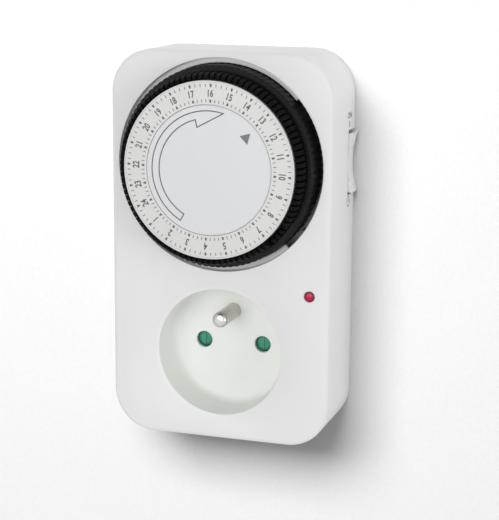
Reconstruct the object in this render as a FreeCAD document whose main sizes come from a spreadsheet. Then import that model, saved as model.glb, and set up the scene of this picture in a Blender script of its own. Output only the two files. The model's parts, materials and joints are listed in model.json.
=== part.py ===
import FreeCAD, Part
import math
import os
import re
import Sketcher

# Plug-in timer socket with a 24 hour dial.
# Units are millimetres. X runs to the right seen from the front, +Y runs into the
# wall and +Z is up. The origin is the middle of the two plug pins, on the flat end
# of the plug boss. In the text below a depth is measured from the front face.

SIZES = {
    # Case
    "case_width": 68.4,
    "case_height": 117.5,
    "case_depth": 26.0,
    "case_foot": 27.0,
    "case_corner": 12.8,
    "case_edge": 1.4,
    "case_wall": 2.0,
    "case_fit": 0.15,
    "cut_over": 1.0,
    "part_gap": 0.3,
    # Screw posts between the two housings
    "post_radius": 3.2,
    "post_split": 13.6,
    "post_inset_side": 7.8,
    "post_side": "=case_width / 2 - post_inset_side",
    "post_inset_top": 7.5,
    "post_inset_foot": 8.0,
    "post_inset_middle": 5.8,
    "post_side_middle": "=case_width / 2 - post_inset_middle",
    "post_drop": 29.2,
    "post_height_middle": "=dial_height - post_drop",
    "screw_radius": 1.4,
    "screw_fit": 0.1,
    "screw_length": 14.0,
    "screw_head": 2.4,
    "screw_head_height": 1.7,
    "screw_head_edge": 0.4,
    "screw_point": 0.5,
    "screw_point_length": 1.0,
    "screw_bore_spare": 0.5,
    "drive_reach": 1.4,
    "drive_half": 0.3,
    "screw_seat": 19.0,
    # Outlet recess and its contacts
    "recess_radius": 19.45,
    "recess_depth": 14.0,
    "recess_wall": 1.6,
    "recess_floor": 1.4,
    "recess_round": 2.6,
    "recess_lip": 1.3,
    "recess_lip_depth": 0.7,
    "pin_spacing": 19.0,
    "pin_radius": 2.4,
    "pin_neck": 2.2,
    "aperture_radius": 2.6,
    "earth_offset": 10.0,
    "earth_pin_length": 14.0,
    "earth_root_radius": 1.9,
    "pin_fit": 0.05,
    "contact_start": 21.0,
    "contact_length": 14.0,
    "contact_width": 5.0,
    "contact_sheet": 0.5,
    "contact_flare": 0.7,
    "contact_flare_length": 1.5,
    # Shutter behind the outlet floor
    "shutter_plate": 1.2,
    "shutter_ramp": 1.0,
    "shutter_margin": 0.3,
    "ramp_flat": 1.6,
    "ramp_root": 0.2,
    "ramp_toe": 0.1,
    "way_margin": 0.4,
    "lug_width": 1.2,
    "lug_drop": 3.4,
    "shutter_height": 7.0,
    "shutter_travel": 5.6,
    "shutter_end": 12.6,
    "retainer_plate": 1.2,
    "rail_reach": 14.0,
    "rail_width": 1.4,
    "rail_gap": 0.1,
    "rail_drop": 5.4,
    "stop_gap": 0.5,
    "retainer_radius": 20.2,
    "shutter_spring_radius": 1.15,
    "shutter_spring_wire": 0.35,
    "shutter_spring_turns": 8.0,
    "shutter_spring_length": 10.0,
    "spring_clearance": 0.05,
    "spring_drop": 2.0,
    # Plug on the back
    "boss_height": 17.0,
    "boss_radius": 18.4,
    "boss_wall": 2.0,
    "boss_end": 3.0,
    "plug_pin_length": 19.0,
    "pin_tip": 1.6,
    "pin_flange_radius": 3.4,
    "pin_flange": 1.0,
    "pin_root_radius": 1.7,
    "pin_root": 3.2,
    "key_width": 5.4,
    "key_depth": 2.0,
    "earth_bore": 2.5,
    "earth_socket_wall": 0.5,
    "earth_socket_length": 14.0,
    "socket_sink": 0.5,
    "socket_lip": 0.3,
    "socket_flare": 0.2,
    "socket_floor": 0.6,
    "clip_width": 5.6,
    "clip_sheet": 0.6,
    "clip_proud": 0.4,
    "clip_length": 12.0,
    "clip_bend": 8.0,
    "clip_turn": 3.0,
    "clip_nose": 1.5,
    "clip_drop": 1.6,
    "clip_slope": 0.4,
    "clip_foot": 3.0,
    "strap_width": 6.0,
    "strap_sheet": 0.8,
    "strap_end_gap": 1.0,
    "strip_sheet": 0.8,
    "strip_run": 2.6,
    "strip_end": 2.4,
    "strip_step": 5.2,
    "switched_step": 1.2,
    "strip_rise_gap": 0.9,
    "carrier_sheet": 1.6,
    # Indicator lamp beside the outlet
    "lamp_inset": 6.1,
    "lamp_side": "=case_width / 2 - lamp_inset",
    "lamp_drop": 37.4,
    "lamp_height": "=dial_height - lamp_drop",
    "lens_radius": 1.6,
    "lens_dome": 0.4,
    "lens_collar": 2.3,
    "lens_length": 4.6,
    "lens_flange": 1.0,
    "lens_dome_inner": 0.6,
    "lens_dome_share": 0.8,
    "lamp_tube_wall": 1.0,
    "lamp_tube_length": 2.4,
    "neon_radius": 1.8,
    "neon_length": 9.0,
    "neon_shoulder": 1.1,
    "neon_foot": 0.6,
    "neon_end_share": 0.7,
    "resistor_radius": 1.1,
    "resistor_length": 6.0,
    # Dial well in the front of the case
    "dial_height": 57.0,
    "well_margin": 2.45,
    "well_radius": "=case_width / 2 - well_margin",
    "well_wall": 1.5,
    "well_depth": 8.0,
    "ledge_width": 1.6,
    "ledge_radius": "=well_radius - ledge_width",
    "ledge_depth": 2.5,
    "ledge_sheet": 1.4,
    "window_start": -48.75,
    "window_turn": 90.0,
    # Drum and what turns with it
    "drum_gap": 0.55,
    "drum_radius": "=ledge_radius - drum_gap",
    "drum_front": 4.0,
    "drum_back": 6.5,
    "drum_edge": 0.3,
    "drum_web_front": 3.0,
    "drum_web": 1.8,
    "drum_rim": 4.0,
    "drum_hub": 7.5,
    "drum_neck": 5.0,
    "drum_neck_back": 9.5,
    "drum_sleeve_gap": 3.6,
    "dial_front": 9.9,
    "scale_gap": 0.4,
    "scale_radius": "=tappet_inner - scale_gap",
    "scale_sheet": 1.0,
    "scale_rim": 0.45,
    "scale_rim_rise": 0.2,
    "scale_support": 2.0,
    "scale_band": 7.0,
    "hub_disc_radius": "=scale_radius - scale_band",
    "hub_disc_sheet": 1.4,
    "hub_disc_edge": 0.35,
    "post_gap": 0.6,
    "post_floor": 0.8,
    "turn_gap": 0.1,
    "running_fit": 0.05,
    "hub_post_radius": 4.0,
    "hub_post_flange": 6.5,
    "hub_post_flange_front": 9.8,
    "hub_post_bore": 2.0,
    "hub_post_root": 2.5,
    "stub_length": 5.0,
    # Tappets round the drum, one for each quarter of an hour
    "tappet_count": 96.0,
    "tappet_inset": 1.5,
    "tappet_outer": "=drum_radius - tappet_inset",
    "tappet_height": 1.7,
    "tappet_inner": "=tappet_outer - tappet_height",
    "tappet_width": 1.35,
    "tappet_fit": 0.05,
    "tappet_front": 9.7,
    "tappet_shoulder": 1.0,
    "tappet_bevel": 1.5,
    "tappet_back": 6.0,
    "tappet_travel": 3.5,
    # Gear train
    "gear_module": 0.5,
    "gear_backlash": 0.16,
    "gear_tip": 0.8,
    "gear_root": 1.2,
    "gear_flank": 20.0,
    "gear_overhang": 0.2,
    "drum_gear_teeth": 64.0,
    "drum_gear_front": 6.8,
    "drum_gear_width": 2.0,
    "washer_radius": 8.0,
    "washer_sheet": 0.3,
    "washer_gap": 0.05,
    "pinion_teeth": 16.0,
    "wheel_teeth": 48.0,
    "wheel_front": 10.2,
    "wheel_width": 1.2,
    "wheel_direction": 235.0,
    "motor_direction": 15.0,
    "arbor_radius": 0.8,
    "arbor_front": 6.0,
    # Chassis and motor
    "chassis_front": 12.2,
    "chassis_sheet": 1.4,
    "chassis_inset": 3.0,
    "chassis_side": "=case_width / 2 - chassis_inset",
    "chassis_margin": 3.3,
    "chassis_corner": 5.0,
    "chassis_low_gap": 0.4,
    "shaft_margin": 0.6,
    "shaft_reach": 1.2,
    "notch_gap": 0.5,
    "notch_start": 3.0,
    "notch_end": 12.0,
    "chassis_notch_side": "=lever_side - lever_width / 2 - notch_gap",
    "chassis_notch_low": "=lever_pivot + notch_start",
    "chassis_notch_high": "=lever_top + notch_end",
    "motor_radius": 12.6,
    "motor_length": 9.6,
    "motor_sheet": 0.8,
    "motor_ear": 15.4,
    "motor_ear_width": 5.0,
    "bobbin_inner": 6.2,
    "bobbin_outer": 11.4,
    "bobbin_sheet": 0.7,
    "winding_outer": 10.8,
    "rotor_radius": 5.6,
    "rotor_length": 4.6,
    "shaft_radius": 0.9,
    "motor_screw": 1.0,
    "motor_screw_fit": 0.05,
    "motor_screw_head": 0.9,
    "motor_screw_top": 0.6,
    "motor_screw_rise": 1.1,
    "magnet_gap": 1.8,
    "bearing_gap": 0.1,
    # Trip lever
    "lever_inset": 0.9,
    "lever_side": "=tappet_outer - lever_inset",
    "lever_width": 2.2,
    "lever_sheet": 1.4,
    "lever_front": 10.5,
    "lever_length": 20.0,
    "lever_pivot": "=dial_height - lever_length",
    "lever_tail": 3.0,
    "lever_top": "=dial_height + lever_tail",
    "lever_eye": 1.5,
    "lever_nose": 3.2,
    "lever_play": 0.1,
    "nose_root": 0.2,
    "pivot_radius": 0.6,
    "lever_side_gap": 0.3,
    "ear_sheet": 1.0,
    "ear_front": 8.8,
    "ear_half_height": 2.0,
    "lever_spring_radius": 0.95,
    "lever_spring_wire": 0.3,
    "lever_spring_turns": 3.0,
    "lever_spring_length": 1.5,
    "lever_pin_spare": 0.6,
    # Microswitch behind the lever
    "switch_drop": 21.5,
    "switch_low": "=dial_height - switch_drop",
    "switch_length": 18.0,
    "switch_thickness": 4.4,
    "switch_front": 14.4,
    "switch_depth": 9.2,
    "switch_wall": 0.8,
    "plunger_drop": 11.0,
    "plunger_height": "=dial_height - plunger_drop",
    "plunger_width": 1.6,
    "plunger_reach": 2.6,
    "plunger_play": 0.12,
    "blade_sheet": 0.3,
    "blade_width": 1.6,
    "blade_root": 3.2,
    "blade_roll": 0.5,
    "contact_button": 0.8,
    "contact_gap": 1.45,
    "button_height": 0.8,
    "button_sink": 0.1,
    "button_inset": 2.6,
    "blade_tip": 1.2,
    "blade_tail": 0.8,
    "blade_foot": 0.4,
    "terminal_lap": 0.5,
    "terminal_sheet": 0.5,
    "terminal_tail": 2.5,
    # Rocker button on the right side
    "rocker_pivot_inset": 3.3,
    "rocker_pivot": "=case_width / 2 - rocker_pivot_inset",
    "rocker_length": 18.2,
    "rocker_rise": 1.3,
    "rocker_hollow": 1.4,
    "rocker_width": 6.0,
    "rocker_back_inset": 0.8,
    "rocker_front": "=case_depth - rocker_back_inset - rocker_width",
    "rocker_inset": 3.0,
    "rocker_inner": "=case_width / 2 - rocker_inset",
    "rocker_inner_length": 12.0,
    "rocker_boss": 1.4,
    "rocker_pin": 0.8,
    "rocker_pin_length": 1.2,
    "rocker_slot": 0.3,
    "rocker_slot_length": 19.6,
    "rocker_bearing": 1.3,
    "bearing_half": 1.8,
    "rocker_chamfer": 0.5,
    "rocker_taper": 0.7,
    "rocker_swing": 1.6,
    "tab_inset": 0.4,
}

# Quarter-hour spaces of the tappet groups, counted from the window's lower end.
# The first group is the hour that stands pushed in; the others are still raised.
PUSHED_TAPPETS = 4
RAISED_GROUPS = (12, 12, 12, 12, 12, 12, 12, 8)

V = FreeCAD.Vector
EDGE_TOLERANCE = 1e-4
TOTAL_DEPTH = "(case_depth + boss_height)"
AXIS_TURNS = {
    "x": FreeCAD.Rotation(V(0, 1, 0), 90),
    "y": FreeCAD.Rotation(V(1, 0, 0), -90),
    "z": FreeCAD.Rotation(),
}

os.makedirs("parts", exist_ok=True)
doc = FreeCAD.newDocument("TimerSocket")
sheet = doc.addObject("Spreadsheet::Sheet", "Sizes")
for row, word in enumerate(SIZES, start=1):
    sheet.set("A%d" % row, word)
    sheet.setAlias("B%d" % row, word)
for row, amount in enumerate(SIZES.values(), start=1):
    sheet.set("B%d" % row, str(amount))
doc.recompute()

places = {}
nodes = []


# Helpers that bind pieces to the sheet

def size(word):
    """Return one size from the sheet as a number."""
    return float(sheet.get(word))


def bound(text):
    """Point every size name in an expression at its cell."""
    def cell(match):
        return "Sizes." + match.group() if match.group() in SIZES else match.group()
    return re.sub(r"[a-z][a-z_]*", cell, text)


def place(piece, where):
    """Bind a piece's position to three expressions."""
    places[piece.Name] = where
    for axis, text in zip("xyz", where):
        piece.setExpression("Placement.Base." + axis, bound(text))
    return piece


def block(name, low, extent):
    """A block from its lowest corner and its extent along X, Y and Z."""
    piece = doc.addObject("Part::Box", name)
    for side, text in zip(("Length", "Width", "Height"), extent):
        piece.setExpression(side, bound(text))
    return place(piece, low)


def rod(name, radius, length, start, along="y"):
    """A round rod from the middle of its first end."""
    piece = doc.addObject("Part::Cylinder", name)
    piece.Placement.Rotation = AXIS_TURNS[along]
    piece.setExpression("Radius", bound(radius))
    piece.setExpression("Height", bound(length))
    return place(piece, start)


def fuse(name, *pieces):
    """Join pieces that overlap into one."""
    joined = doc.addObject("Part::MultiFuse", name)
    joined.Shapes = list(pieces)
    joined.Refine = True
    return joined


def cut(name, piece, *tools):
    """Take every tool away from a piece, one after the other."""
    for count, tool in enumerate(tools, start=1):
        less = doc.addObject("Part::Cut", "%s_%d" % (name, count))
        less.Base = piece
        less.Tool = tool
        piece = less
    return piece


def plane_of(body, role):
    """Return one of a body's own origin planes."""
    return next(face for face in body.Origin.OriginFeatures if face.Role == role)


def sketch_on(body, role, offset="0"):
    """A sketch on one of the body's origin planes, shifted along its normal."""
    sketch = body.newObject("Sketcher::SketchObject", body.Name + "_sketch")
    sketch.AttachmentSupport = [(plane_of(body, role), "")]
    sketch.MapMode = "FlatFace"
    sketch.setExpression("AttachmentOffset.Base.z", bound(offset))
    return sketch


def fix_point(sketch, line, end, across, up):
    """Tie one point of a sketch to two expressions."""
    rough = sketch.getPoint(line, end)
    for kind, text, reach in (("DistanceX", across, rough.x), ("DistanceY", up, rough.y)):
        number = sketch.addConstraint(Sketcher.Constraint(kind, -1, 1, line, end, reach))
        sketch.setExpression("Constraints[%d]" % number, bound(text))


def polygon(sketch, outline):
    """Close an outline of straight lines through bound points."""
    count = len(outline)
    rough = [V(1 + step, step * step % 7, 0) for step in range(count)]
    for step in range(count):
        sketch.addGeometry(Part.LineSegment(rough[step], rough[(step + 1) % count]), False)
    for step in range(count):
        sketch.addConstraint(Sketcher.Constraint("Coincident", step, 2, (step + 1) % count, 1))
    for step, (across, up) in enumerate(outline):
        fix_point(sketch, step, 1, across, up)


def rounded_rectangle(sketch, width, height, corner, middle=("0", "0")):
    """Close a rectangle with four equal round corners about a bound middle."""
    half, tall, bend = 30.0, 50.0, 10.0
    corners = [(half - bend, bend - tall), (half - bend, tall - bend),
               (bend - half, tall - bend), (bend - half, bend - tall)]
    edges = [((bend - half, -tall), (half - bend, -tall)),
             ((half, bend - tall), (half, tall - bend)),
             ((half - bend, tall), (bend - half, tall)),
             ((-half, tall - bend), (-half, bend - tall))]
    for quarter in range(4):
        start, end = edges[quarter]
        sketch.addGeometry(Part.LineSegment(V(*start, 0), V(*end, 0)), False)
        circle = Part.Circle(V(*corners[quarter], 0), V(0, 0, 1), bend)
        from_angle = math.radians(90 * quarter - 90)
        sketch.addGeometry(Part.ArcOfCircle(circle, from_angle, from_angle + math.pi / 2), False)
    for step in range(8):
        sketch.addConstraint(Sketcher.Constraint("Tangent", step, 2, (step + 1) % 8, 1))
    for line in (0, 4):
        sketch.addConstraint(Sketcher.Constraint("Horizontal", line))
    for line in (2, 6):
        sketch.addConstraint(Sketcher.Constraint("Vertical", line))
    for arc in (3, 5, 7):
        sketch.addConstraint(Sketcher.Constraint("Equal", 1, arc))
    number = sketch.addConstraint(Sketcher.Constraint("Radius", 1, bend))
    sketch.setExpression("Constraints[%d]" % number, bound(corner))
    across, up = middle
    fix_point(sketch, 3, 3, "%s + (%s) / 2 - (%s)" % (across, width, corner),
              "%s + (%s) / 2 - (%s)" % (up, height, corner))
    fix_point(sketch, 7, 3, "%s - (%s) / 2 + (%s)" % (across, width, corner),
              "%s - (%s) / 2 + (%s)" % (up, height, corner))


def turned(name, outline, middle=("0", "0")):
    """A body turned about its own depth axis from (radius, depth) points."""
    body = doc.addObject("PartDesign::Body", name)
    sketch = sketch_on(body, "XY_Plane")
    polygon(sketch, outline)
    spin = body.newObject("PartDesign::Revolution", name + "_spin")
    spin.Profile = sketch
    spin.ReferenceAxis = (sketch, ["V_Axis"])
    spin.Angle = 360
    return place(body, (middle[0], "0", middle[1]))


def pad(body, sketch, length, reverse=False):
    """Give a sketch its thickness."""
    thick = body.newObject("PartDesign::Pad", sketch.Name + "_pad")
    thick.Profile = sketch
    thick.setExpression("Length", bound(length))
    thick.Reversed = reverse
    return thick


def across_bar(name, outline, start, width):
    """A body whose (depth, height) outline runs along X."""
    body = doc.addObject("PartDesign::Body", name)
    sketch = sketch_on(body, "YZ_Plane", start)
    polygon(sketch, outline)
    pad(body, sketch, width)
    return place(body, ("0", "0", "0"))


def upright_bar(name, outline, start, height):
    """A body whose (X, depth) outline runs up along Z."""
    body = doc.addObject("PartDesign::Body", name)
    sketch = sketch_on(body, "XY_Plane", start)
    polygon(sketch, outline)
    pad(body, sketch, height)
    return place(body, ("0", "0", "0"))


def deep_plate(name, width, height, corner, middle, start, thickness):
    """A plate with round corners that faces the front."""
    body = doc.addObject("PartDesign::Body", name)
    sketch = sketch_on(body, "XZ_Plane", "-(%s)" % start)
    rounded_rectangle(sketch, width, height, corner, middle)
    pad(body, sketch, thickness, reverse=True)
    return place(body, ("0", "0", "0"))


def round_edges(body, radius, wanted):
    """Round the edges of a body that a test picks."""
    doc.recompute()
    tip = body.Tip
    names = ["Edge%d" % number for number, edge in enumerate(tip.Shape.Edges, start=1) if wanted(edge)]
    soft = body.newObject("PartDesign::Fillet", body.Name + "_round")
    soft.Base = (tip, names)
    soft.setExpression("Radius", bound(radius))
    return body


def on_depth(depth):
    """A test for edges that lie wholly at one depth."""
    def wanted(edge):
        box = edge.BoundBox
        return abs(box.YMin - depth) < EDGE_TOLERANCE and abs(box.YMax - depth) < EDGE_TOLERANCE
    return wanted


def node(piece, label):
    """Name a finished piece and move it to the plug's own origin."""
    across, depth, up = places.get(piece.Name, ("0", "0", "0"))
    place(piece, (across, "%s - %s" % (depth, TOTAL_DEPTH), up))
    piece.Label = label
    nodes.append(piece)
    return piece


def gear(name, teeth, bore, front, width, middle):
    """A spur gear with straight-flanked gaps on one pitch circle."""
    pitch = "(gear_module * %s / 2)" % teeth
    body = turned(name, [
        (bore, front),
        (pitch + " + gear_tip * gear_module", front),
        (pitch + " + gear_tip * gear_module", front + " + " + width),
        (bore, front + " + " + width),
    ], middle)
    half = "(gear_module * pi / 4 + gear_backlash)"
    flank = "tan(gear_flank) * gear_module"
    sketch = sketch_on(body, "XZ_Plane", "-(%s)" % front)
    polygon(sketch, [
        (pitch + " - gear_root * gear_module", "-(%s - gear_root * %s)" % (half, flank)),
        (pitch + " + gear_root * gear_module", "-(%s + gear_root * %s)" % (half, flank)),
        (pitch + " + gear_root * gear_module", "%s + gear_root * %s" % (half, flank)),
        (pitch + " - gear_root * gear_module", "%s - gear_root * %s" % (half, flank)),
    ])
    gap = body.newObject("PartDesign::Pocket", name + "_gap")
    gap.Profile = sketch
    gap.Type = 1
    gap.Midplane = True
    ring = body.newObject("PartDesign::PolarPattern", name + "_teeth")
    ring.Originals = [gap]
    ring.Axis = (sketch_axis(body), [""])
    ring.Angle = 360
    ring.setExpression("Occurrences", bound(teeth))
    body.Tip = ring
    return body


def sketch_axis(body):
    """Return the body's own depth axis."""
    return next(line for line in body.Origin.OriginFeatures if line.Role == "Y_Axis")


def coil(radius, wire, turns, length):
    """An open coil of round wire from the origin along +Z."""
    path = Part.Wire(Part.makeHelix(length / turns, length, radius).Edges)
    section = Part.Wire([Part.Circle(V(radius, 0, 0), V(0, 1, 0), wire / 2).toShape()])
    return path.makePipeShell([section], True, True)


# Front housing: shell, outlet recess, dial well, lamp hole and rocker slot

MIDDLE = "(case_height / 2 - case_foot)"
POSTS = [
    ("top_left", "-post_side", "case_height - case_foot - post_inset_top"),
    ("top_right", "post_side", "case_height - case_foot - post_inset_top"),
    ("middle_left", "-post_side_middle", "post_height_middle"),
    ("middle_right", "post_side_middle", "post_height_middle"),
    ("foot_left", "-post_side", "post_inset_foot - case_foot"),
    ("foot_right", "post_side", "post_inset_foot - case_foot"),
]
FLOOR_BACK = "(recess_depth + recess_floor)"


def make_front_housing():
    shell = deep_plate("front_shell", "case_width", "case_height", "case_corner",
                       ("0", MIDDLE), "0", "case_depth")
    round_edges(shell, "case_edge", on_depth(0))
    sketch = sketch_on(shell, "XZ_Plane", "-case_depth")
    rounded_rectangle(sketch, "case_width - 2 * case_wall", "case_height - 2 * case_wall",
                      "case_corner - case_wall", ("0", MIDDLE))
    hollow = shell.newObject("PartDesign::Pocket", "front_hollow")
    hollow.Profile = sketch
    hollow.setExpression("Length", bound("case_depth - case_wall"))
    hollow.Reversed = True
    well = rod("well_tube", "well_radius + well_wall", "well_depth - case_wall / 2",
               ("0", "case_wall / 2", "dial_height"))
    cup = rod("cup_tube", "recess_radius + recess_wall", FLOOR_BACK + " - case_wall / 2",
              ("0", "case_wall / 2", "0"))
    lamp_tube = rod("lamp_tube", "lens_collar + lamp_tube_wall", "lamp_tube_length",
                    ("lamp_side", "case_wall / 2", "lamp_height"))
    posts = [rod("front_post_" + name, "post_radius", "chassis_front - case_wall / 2",
                 (across, "case_wall / 2", up)) for name, across, up in POSTS[:4]]
    posts += [rod("front_post_" + name, "post_radius", "post_split - case_wall / 2",
                  (across, "case_wall / 2", up)) for name, across, up in POSTS[4:]]
    bearing = block("rocker_bearing", ("rocker_pivot - rocker_boss",
                                       "rocker_front - rocker_slot - rocker_bearing",
                                       "dial_height - bearing_half"),
                    ("case_width / 2 - case_wall / 2 - rocker_pivot + rocker_boss", "rocker_bearing",
                     "2 * bearing_half"))
    solid = fuse("front_solid", shell, well, cup, lamp_tube, bearing, *posts)
    well_hollow = turned("well_hollow", [
        ("0", "-cut_over"),
        ("well_radius", "-cut_over"),
        ("well_radius", "ledge_depth"),
        ("ledge_radius", "ledge_depth"),
        ("ledge_radius", "ledge_depth + ledge_sheet"),
        ("well_radius", "ledge_depth + ledge_sheet"),
        ("well_radius", "well_depth + cut_over"),
        ("0", "well_depth + cut_over"),
    ], ("0", "dial_height"))
    window = rod("ledge_window", "well_radius", "ledge_sheet + 2 * cut_over",
                 ("0", "ledge_depth - cut_over", "dial_height"))
    window.setExpression("Angle", bound("window_turn"))
    start = size("window_start") + size("window_turn")
    window.Placement.Rotation = FreeCAD.Rotation(V(0, 1, 0), -start).multiply(AXIS_TURNS["y"])
    cup_hollow = turned("cup_hollow", [
        ("0", "-cut_over"),
        ("recess_radius + recess_lip", "-cut_over"),
        ("recess_radius + recess_lip", "0"),
        ("recess_radius", "recess_lip_depth"),
        ("recess_radius", "recess_depth"),
        ("0", "recess_depth"),
    ])
    round_edges(cup_hollow, "recess_round", on_depth(size("recess_depth")))
    holes = [rod("aperture_" + name, "aperture_radius", "recess_floor + 2 * cut_over",
                 (across, "recess_depth - cut_over", "0"))
             for name, across in (("left", "-pin_spacing / 2"), ("right", "pin_spacing / 2"))]
    earth = rod("earth_hole", "pin_neck + pin_fit", "recess_floor + 2 * cut_over",
                ("0", "recess_depth - cut_over", "earth_offset"))
    lamp = rod("lamp_hole", "lens_radius + pin_fit", "lens_length + cut_over",
               ("lamp_side", "-cut_over", "lamp_height"))
    lamp_seat = rod("lamp_seat", "lens_collar + pin_fit", "lens_length",
                    ("lamp_side", "case_wall", "lamp_height"))
    slot = block("rocker_slot_hole", ("case_width / 2 - case_wall - cut_over", "rocker_front - rocker_slot",
                                      "dial_height - rocker_slot_length / 2"),
                 ("case_wall + 2 * cut_over", "case_depth - rocker_front + rocker_slot + cut_over",
                  "rocker_slot_length"))
    pivot = rod("rocker_pivot_hole", "rocker_pin + running_fit",
                "rocker_bearing + rocker_slot + 2 * cut_over",
                ("rocker_pivot", "rocker_front - rocker_slot - rocker_bearing - cut_over", "dial_height"))
    bores = [rod("front_bore_" + name, "screw_radius + screw_fit", "post_split",
                 (across, "screw_seat - screw_length - screw_bore_spare", up)) for name, across, up in POSTS]
    front = cut("front_housing", solid, well_hollow, window, cup_hollow, *holes, earth, lamp, lamp_seat,
                slot, pivot, *bores)
    node(front, "front_housing")


# Rear housing with the plug boss, and the screws

def make_rear_housing():
    inner_width = "case_width - 2 * case_wall - 2 * case_fit"
    inner_height = "case_height - 2 * case_wall - 2 * case_fit"
    plate = deep_plate("rear_plate", inner_width, inner_height, "case_corner - case_wall - case_fit",
                       ("0", MIDDLE), "case_depth - case_wall", "case_wall")
    boss = rod("plug_boss", "boss_radius", "boss_height + case_wall", ("0", "case_depth - case_wall", "0"))
    posts = [rod("rear_post_" + name, "post_radius", "case_depth - case_wall / 2 - post_split",
                 (across, "post_split", up)) for name, across, up in POSTS]
    hollow = rod("boss_hollow", "boss_radius - boss_wall", "case_wall + boss_height - boss_end + cut_over",
                 ("0", "case_depth - case_wall - cut_over", "0"))
    pins = [rod("pin_hole_" + name, "pin_neck + pin_fit", "boss_end + 2 * cut_over",
                (across, TOTAL_DEPTH + " - boss_end - cut_over", "0"))
            for name, across in (("left", "-pin_spacing / 2"), ("right", "pin_spacing / 2"))]
    earth = rod("plug_earth_hole", "earth_bore + earth_socket_wall + pin_fit", "boss_end + 2 * cut_over",
                ("0", TOTAL_DEPTH + " - boss_end - cut_over", "earth_offset"))
    keys = [block("key_" + name, (across, "case_depth", "-key_width / 2"),
                  ("key_depth", "boss_height + cut_over", "key_width"))
            for name, across in (("left", "-boss_radius"), ("right", "boss_radius - key_depth"))]
    walls = [block("key_wall_" + name, (across, "case_depth - case_wall", "-key_width / 2 - boss_wall"),
                   ("boss_wall", "boss_height + case_wall - boss_end / 2", "key_width + 2 * boss_wall"))
             for name, across in (("left", "key_depth - boss_radius"),
                                  ("right", "boss_radius - key_depth - boss_wall"))]
    slots = [block("clip_slot_" + name,
                   ("-clip_width / 2 - part_gap", TOTAL_DEPTH + " - clip_length - 3 * cut_over", up),
                   ("clip_width + 2 * part_gap", "clip_length + 2 * cut_over", "boss_wall + 3 * cut_over"))
             for name, up in (("upper", "boss_radius - boss_wall - cut_over"),
                              ("lower", "-boss_radius - 2 * cut_over"))]
    rocker_bore = rod("rocker_rear_hole", "rocker_pin + running_fit", "case_wall",
                      ("rocker_pivot", "case_depth - case_wall - cut_over / 2", "dial_height"))
    bores = [rod("rear_bore_" + name, "screw_radius + screw_fit", "case_depth",
                 (across, "post_split - cut_over", up)) for name, across, up in POSTS]
    seats = [rod("screw_seat_" + name, "screw_head + screw_fit", "case_depth",
                 (across, "screw_seat", up)) for name, across, up in POSTS]
    tube = cut("boss_tube", boss, hollow, *keys)
    tab = block("rocker_tab", ("case_width / 2 - case_wall - cut_over",
                               "rocker_front + rocker_width + part_gap",
                               "dial_height - rocker_slot_length / 2 + case_fit"),
                ("case_wall + cut_over - tab_inset", "case_depth - rocker_front - rocker_width - part_gap",
                 "rocker_slot_length - 2 * case_fit"))
    solid = fuse("rear_solid", cut("rear_opening", plate, hollow), tube, tab, *walls, *posts)
    swing = block("rocker_swing_space", ("case_width / 2 - case_wall - rocker_swing",
                                         "case_depth - case_wall - cut_over",
                                         "dial_height - rocker_slot_length / 2 + case_fit"),
                  ("rocker_swing + cut_over",
                   "rocker_front + rocker_width + part_gap - case_depth + case_wall + cut_over",
                   "rocker_slot_length - 2 * case_fit"))
    rear = cut("rear_housing", solid, *pins, earth, *slots, rocker_bore, swing, *bores, *seats)
    node(rear, "rear_housing")


def make_housing_screws():
    screws = []
    for name, across, up in POSTS:
        screw = turned("screw_" + name, [
            ("0", "screw_seat - screw_length"),
            ("screw_radius - screw_point", "screw_seat - screw_length"),
            ("screw_radius", "screw_seat - screw_length + screw_point_length"),
            ("screw_radius", "screw_seat"),
            ("screw_head", "screw_seat"),
            ("screw_head", "screw_seat + screw_head_height - screw_head_edge"),
            ("screw_head - screw_head_edge", "screw_seat + screw_head_height"),
            ("0", "screw_seat + screw_head_height"),
        ], (across, up))
        screws.append(cross_slotted(screw, name))
    group = doc.addObject("Part::Compound", "housing_screw_group")
    group.Links = screws
    node(group, "housing_screws")


def cross_slotted(screw, name):
    """Cut a cross drive into a screw head."""
    across, depth, up = places[screw.Name]
    back = "screw_seat + screw_head_height"
    arms = [
        block("drive_wide_" + name, (across + " - drive_reach", back + " - cut_over", up + " - drive_half"),
              ("2 * drive_reach", "2 * cut_over", "2 * drive_half")),
        block("drive_tall_" + name, (across + " - drive_half", back + " - cut_over", up + " - drive_reach"),
              ("2 * drive_half", "2 * cut_over", "2 * drive_reach")),
    ]
    return cut("driven_screw_" + name, screw, *arms)


# Plug pins, earth parts and outlet contacts

STRIP_BACK = "(%s - boss_end - pin_flange)" % TOTAL_DEPTH
FAR_LANE = "(switch_front + switch_depth - strip_sheet)"
ANVIL_FRONT = "(switch_front + plunger_reach + blade_sheet + button_height - button_sink + contact_gap)"
NEAR_LANE = "(%s + contact_button + terminal_sheet - button_sink)" % ANVIL_FRONT


def make_plug_pins():
    for label, across in (("plug_pin_live", "pin_spacing / 2"), ("plug_pin_neutral", "-pin_spacing / 2")):
        pin = turned(label, [
            ("0", STRIP_BACK + " - pin_root"),
            ("pin_root_radius", STRIP_BACK + " - pin_root"),
            ("pin_root_radius", STRIP_BACK),
            ("pin_flange_radius", STRIP_BACK),
            ("pin_flange_radius", STRIP_BACK + " + pin_flange"),
            ("pin_neck", STRIP_BACK + " + pin_flange"),
            ("pin_neck", TOTAL_DEPTH),
            ("pin_radius", TOTAL_DEPTH),
            ("pin_radius", TOTAL_DEPTH + " + plug_pin_length"),
            ("0", TOTAL_DEPTH + " + plug_pin_length"),
        ], (across, "0"))
        tip = size("case_depth") + size("boss_height") + size("plug_pin_length")
        round_edges(pin, "pin_tip", on_depth(tip))
        node(pin, label)


STRAP_BACK = "(%s - earth_socket_length - socket_sink)" % TOTAL_DEPTH


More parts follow.
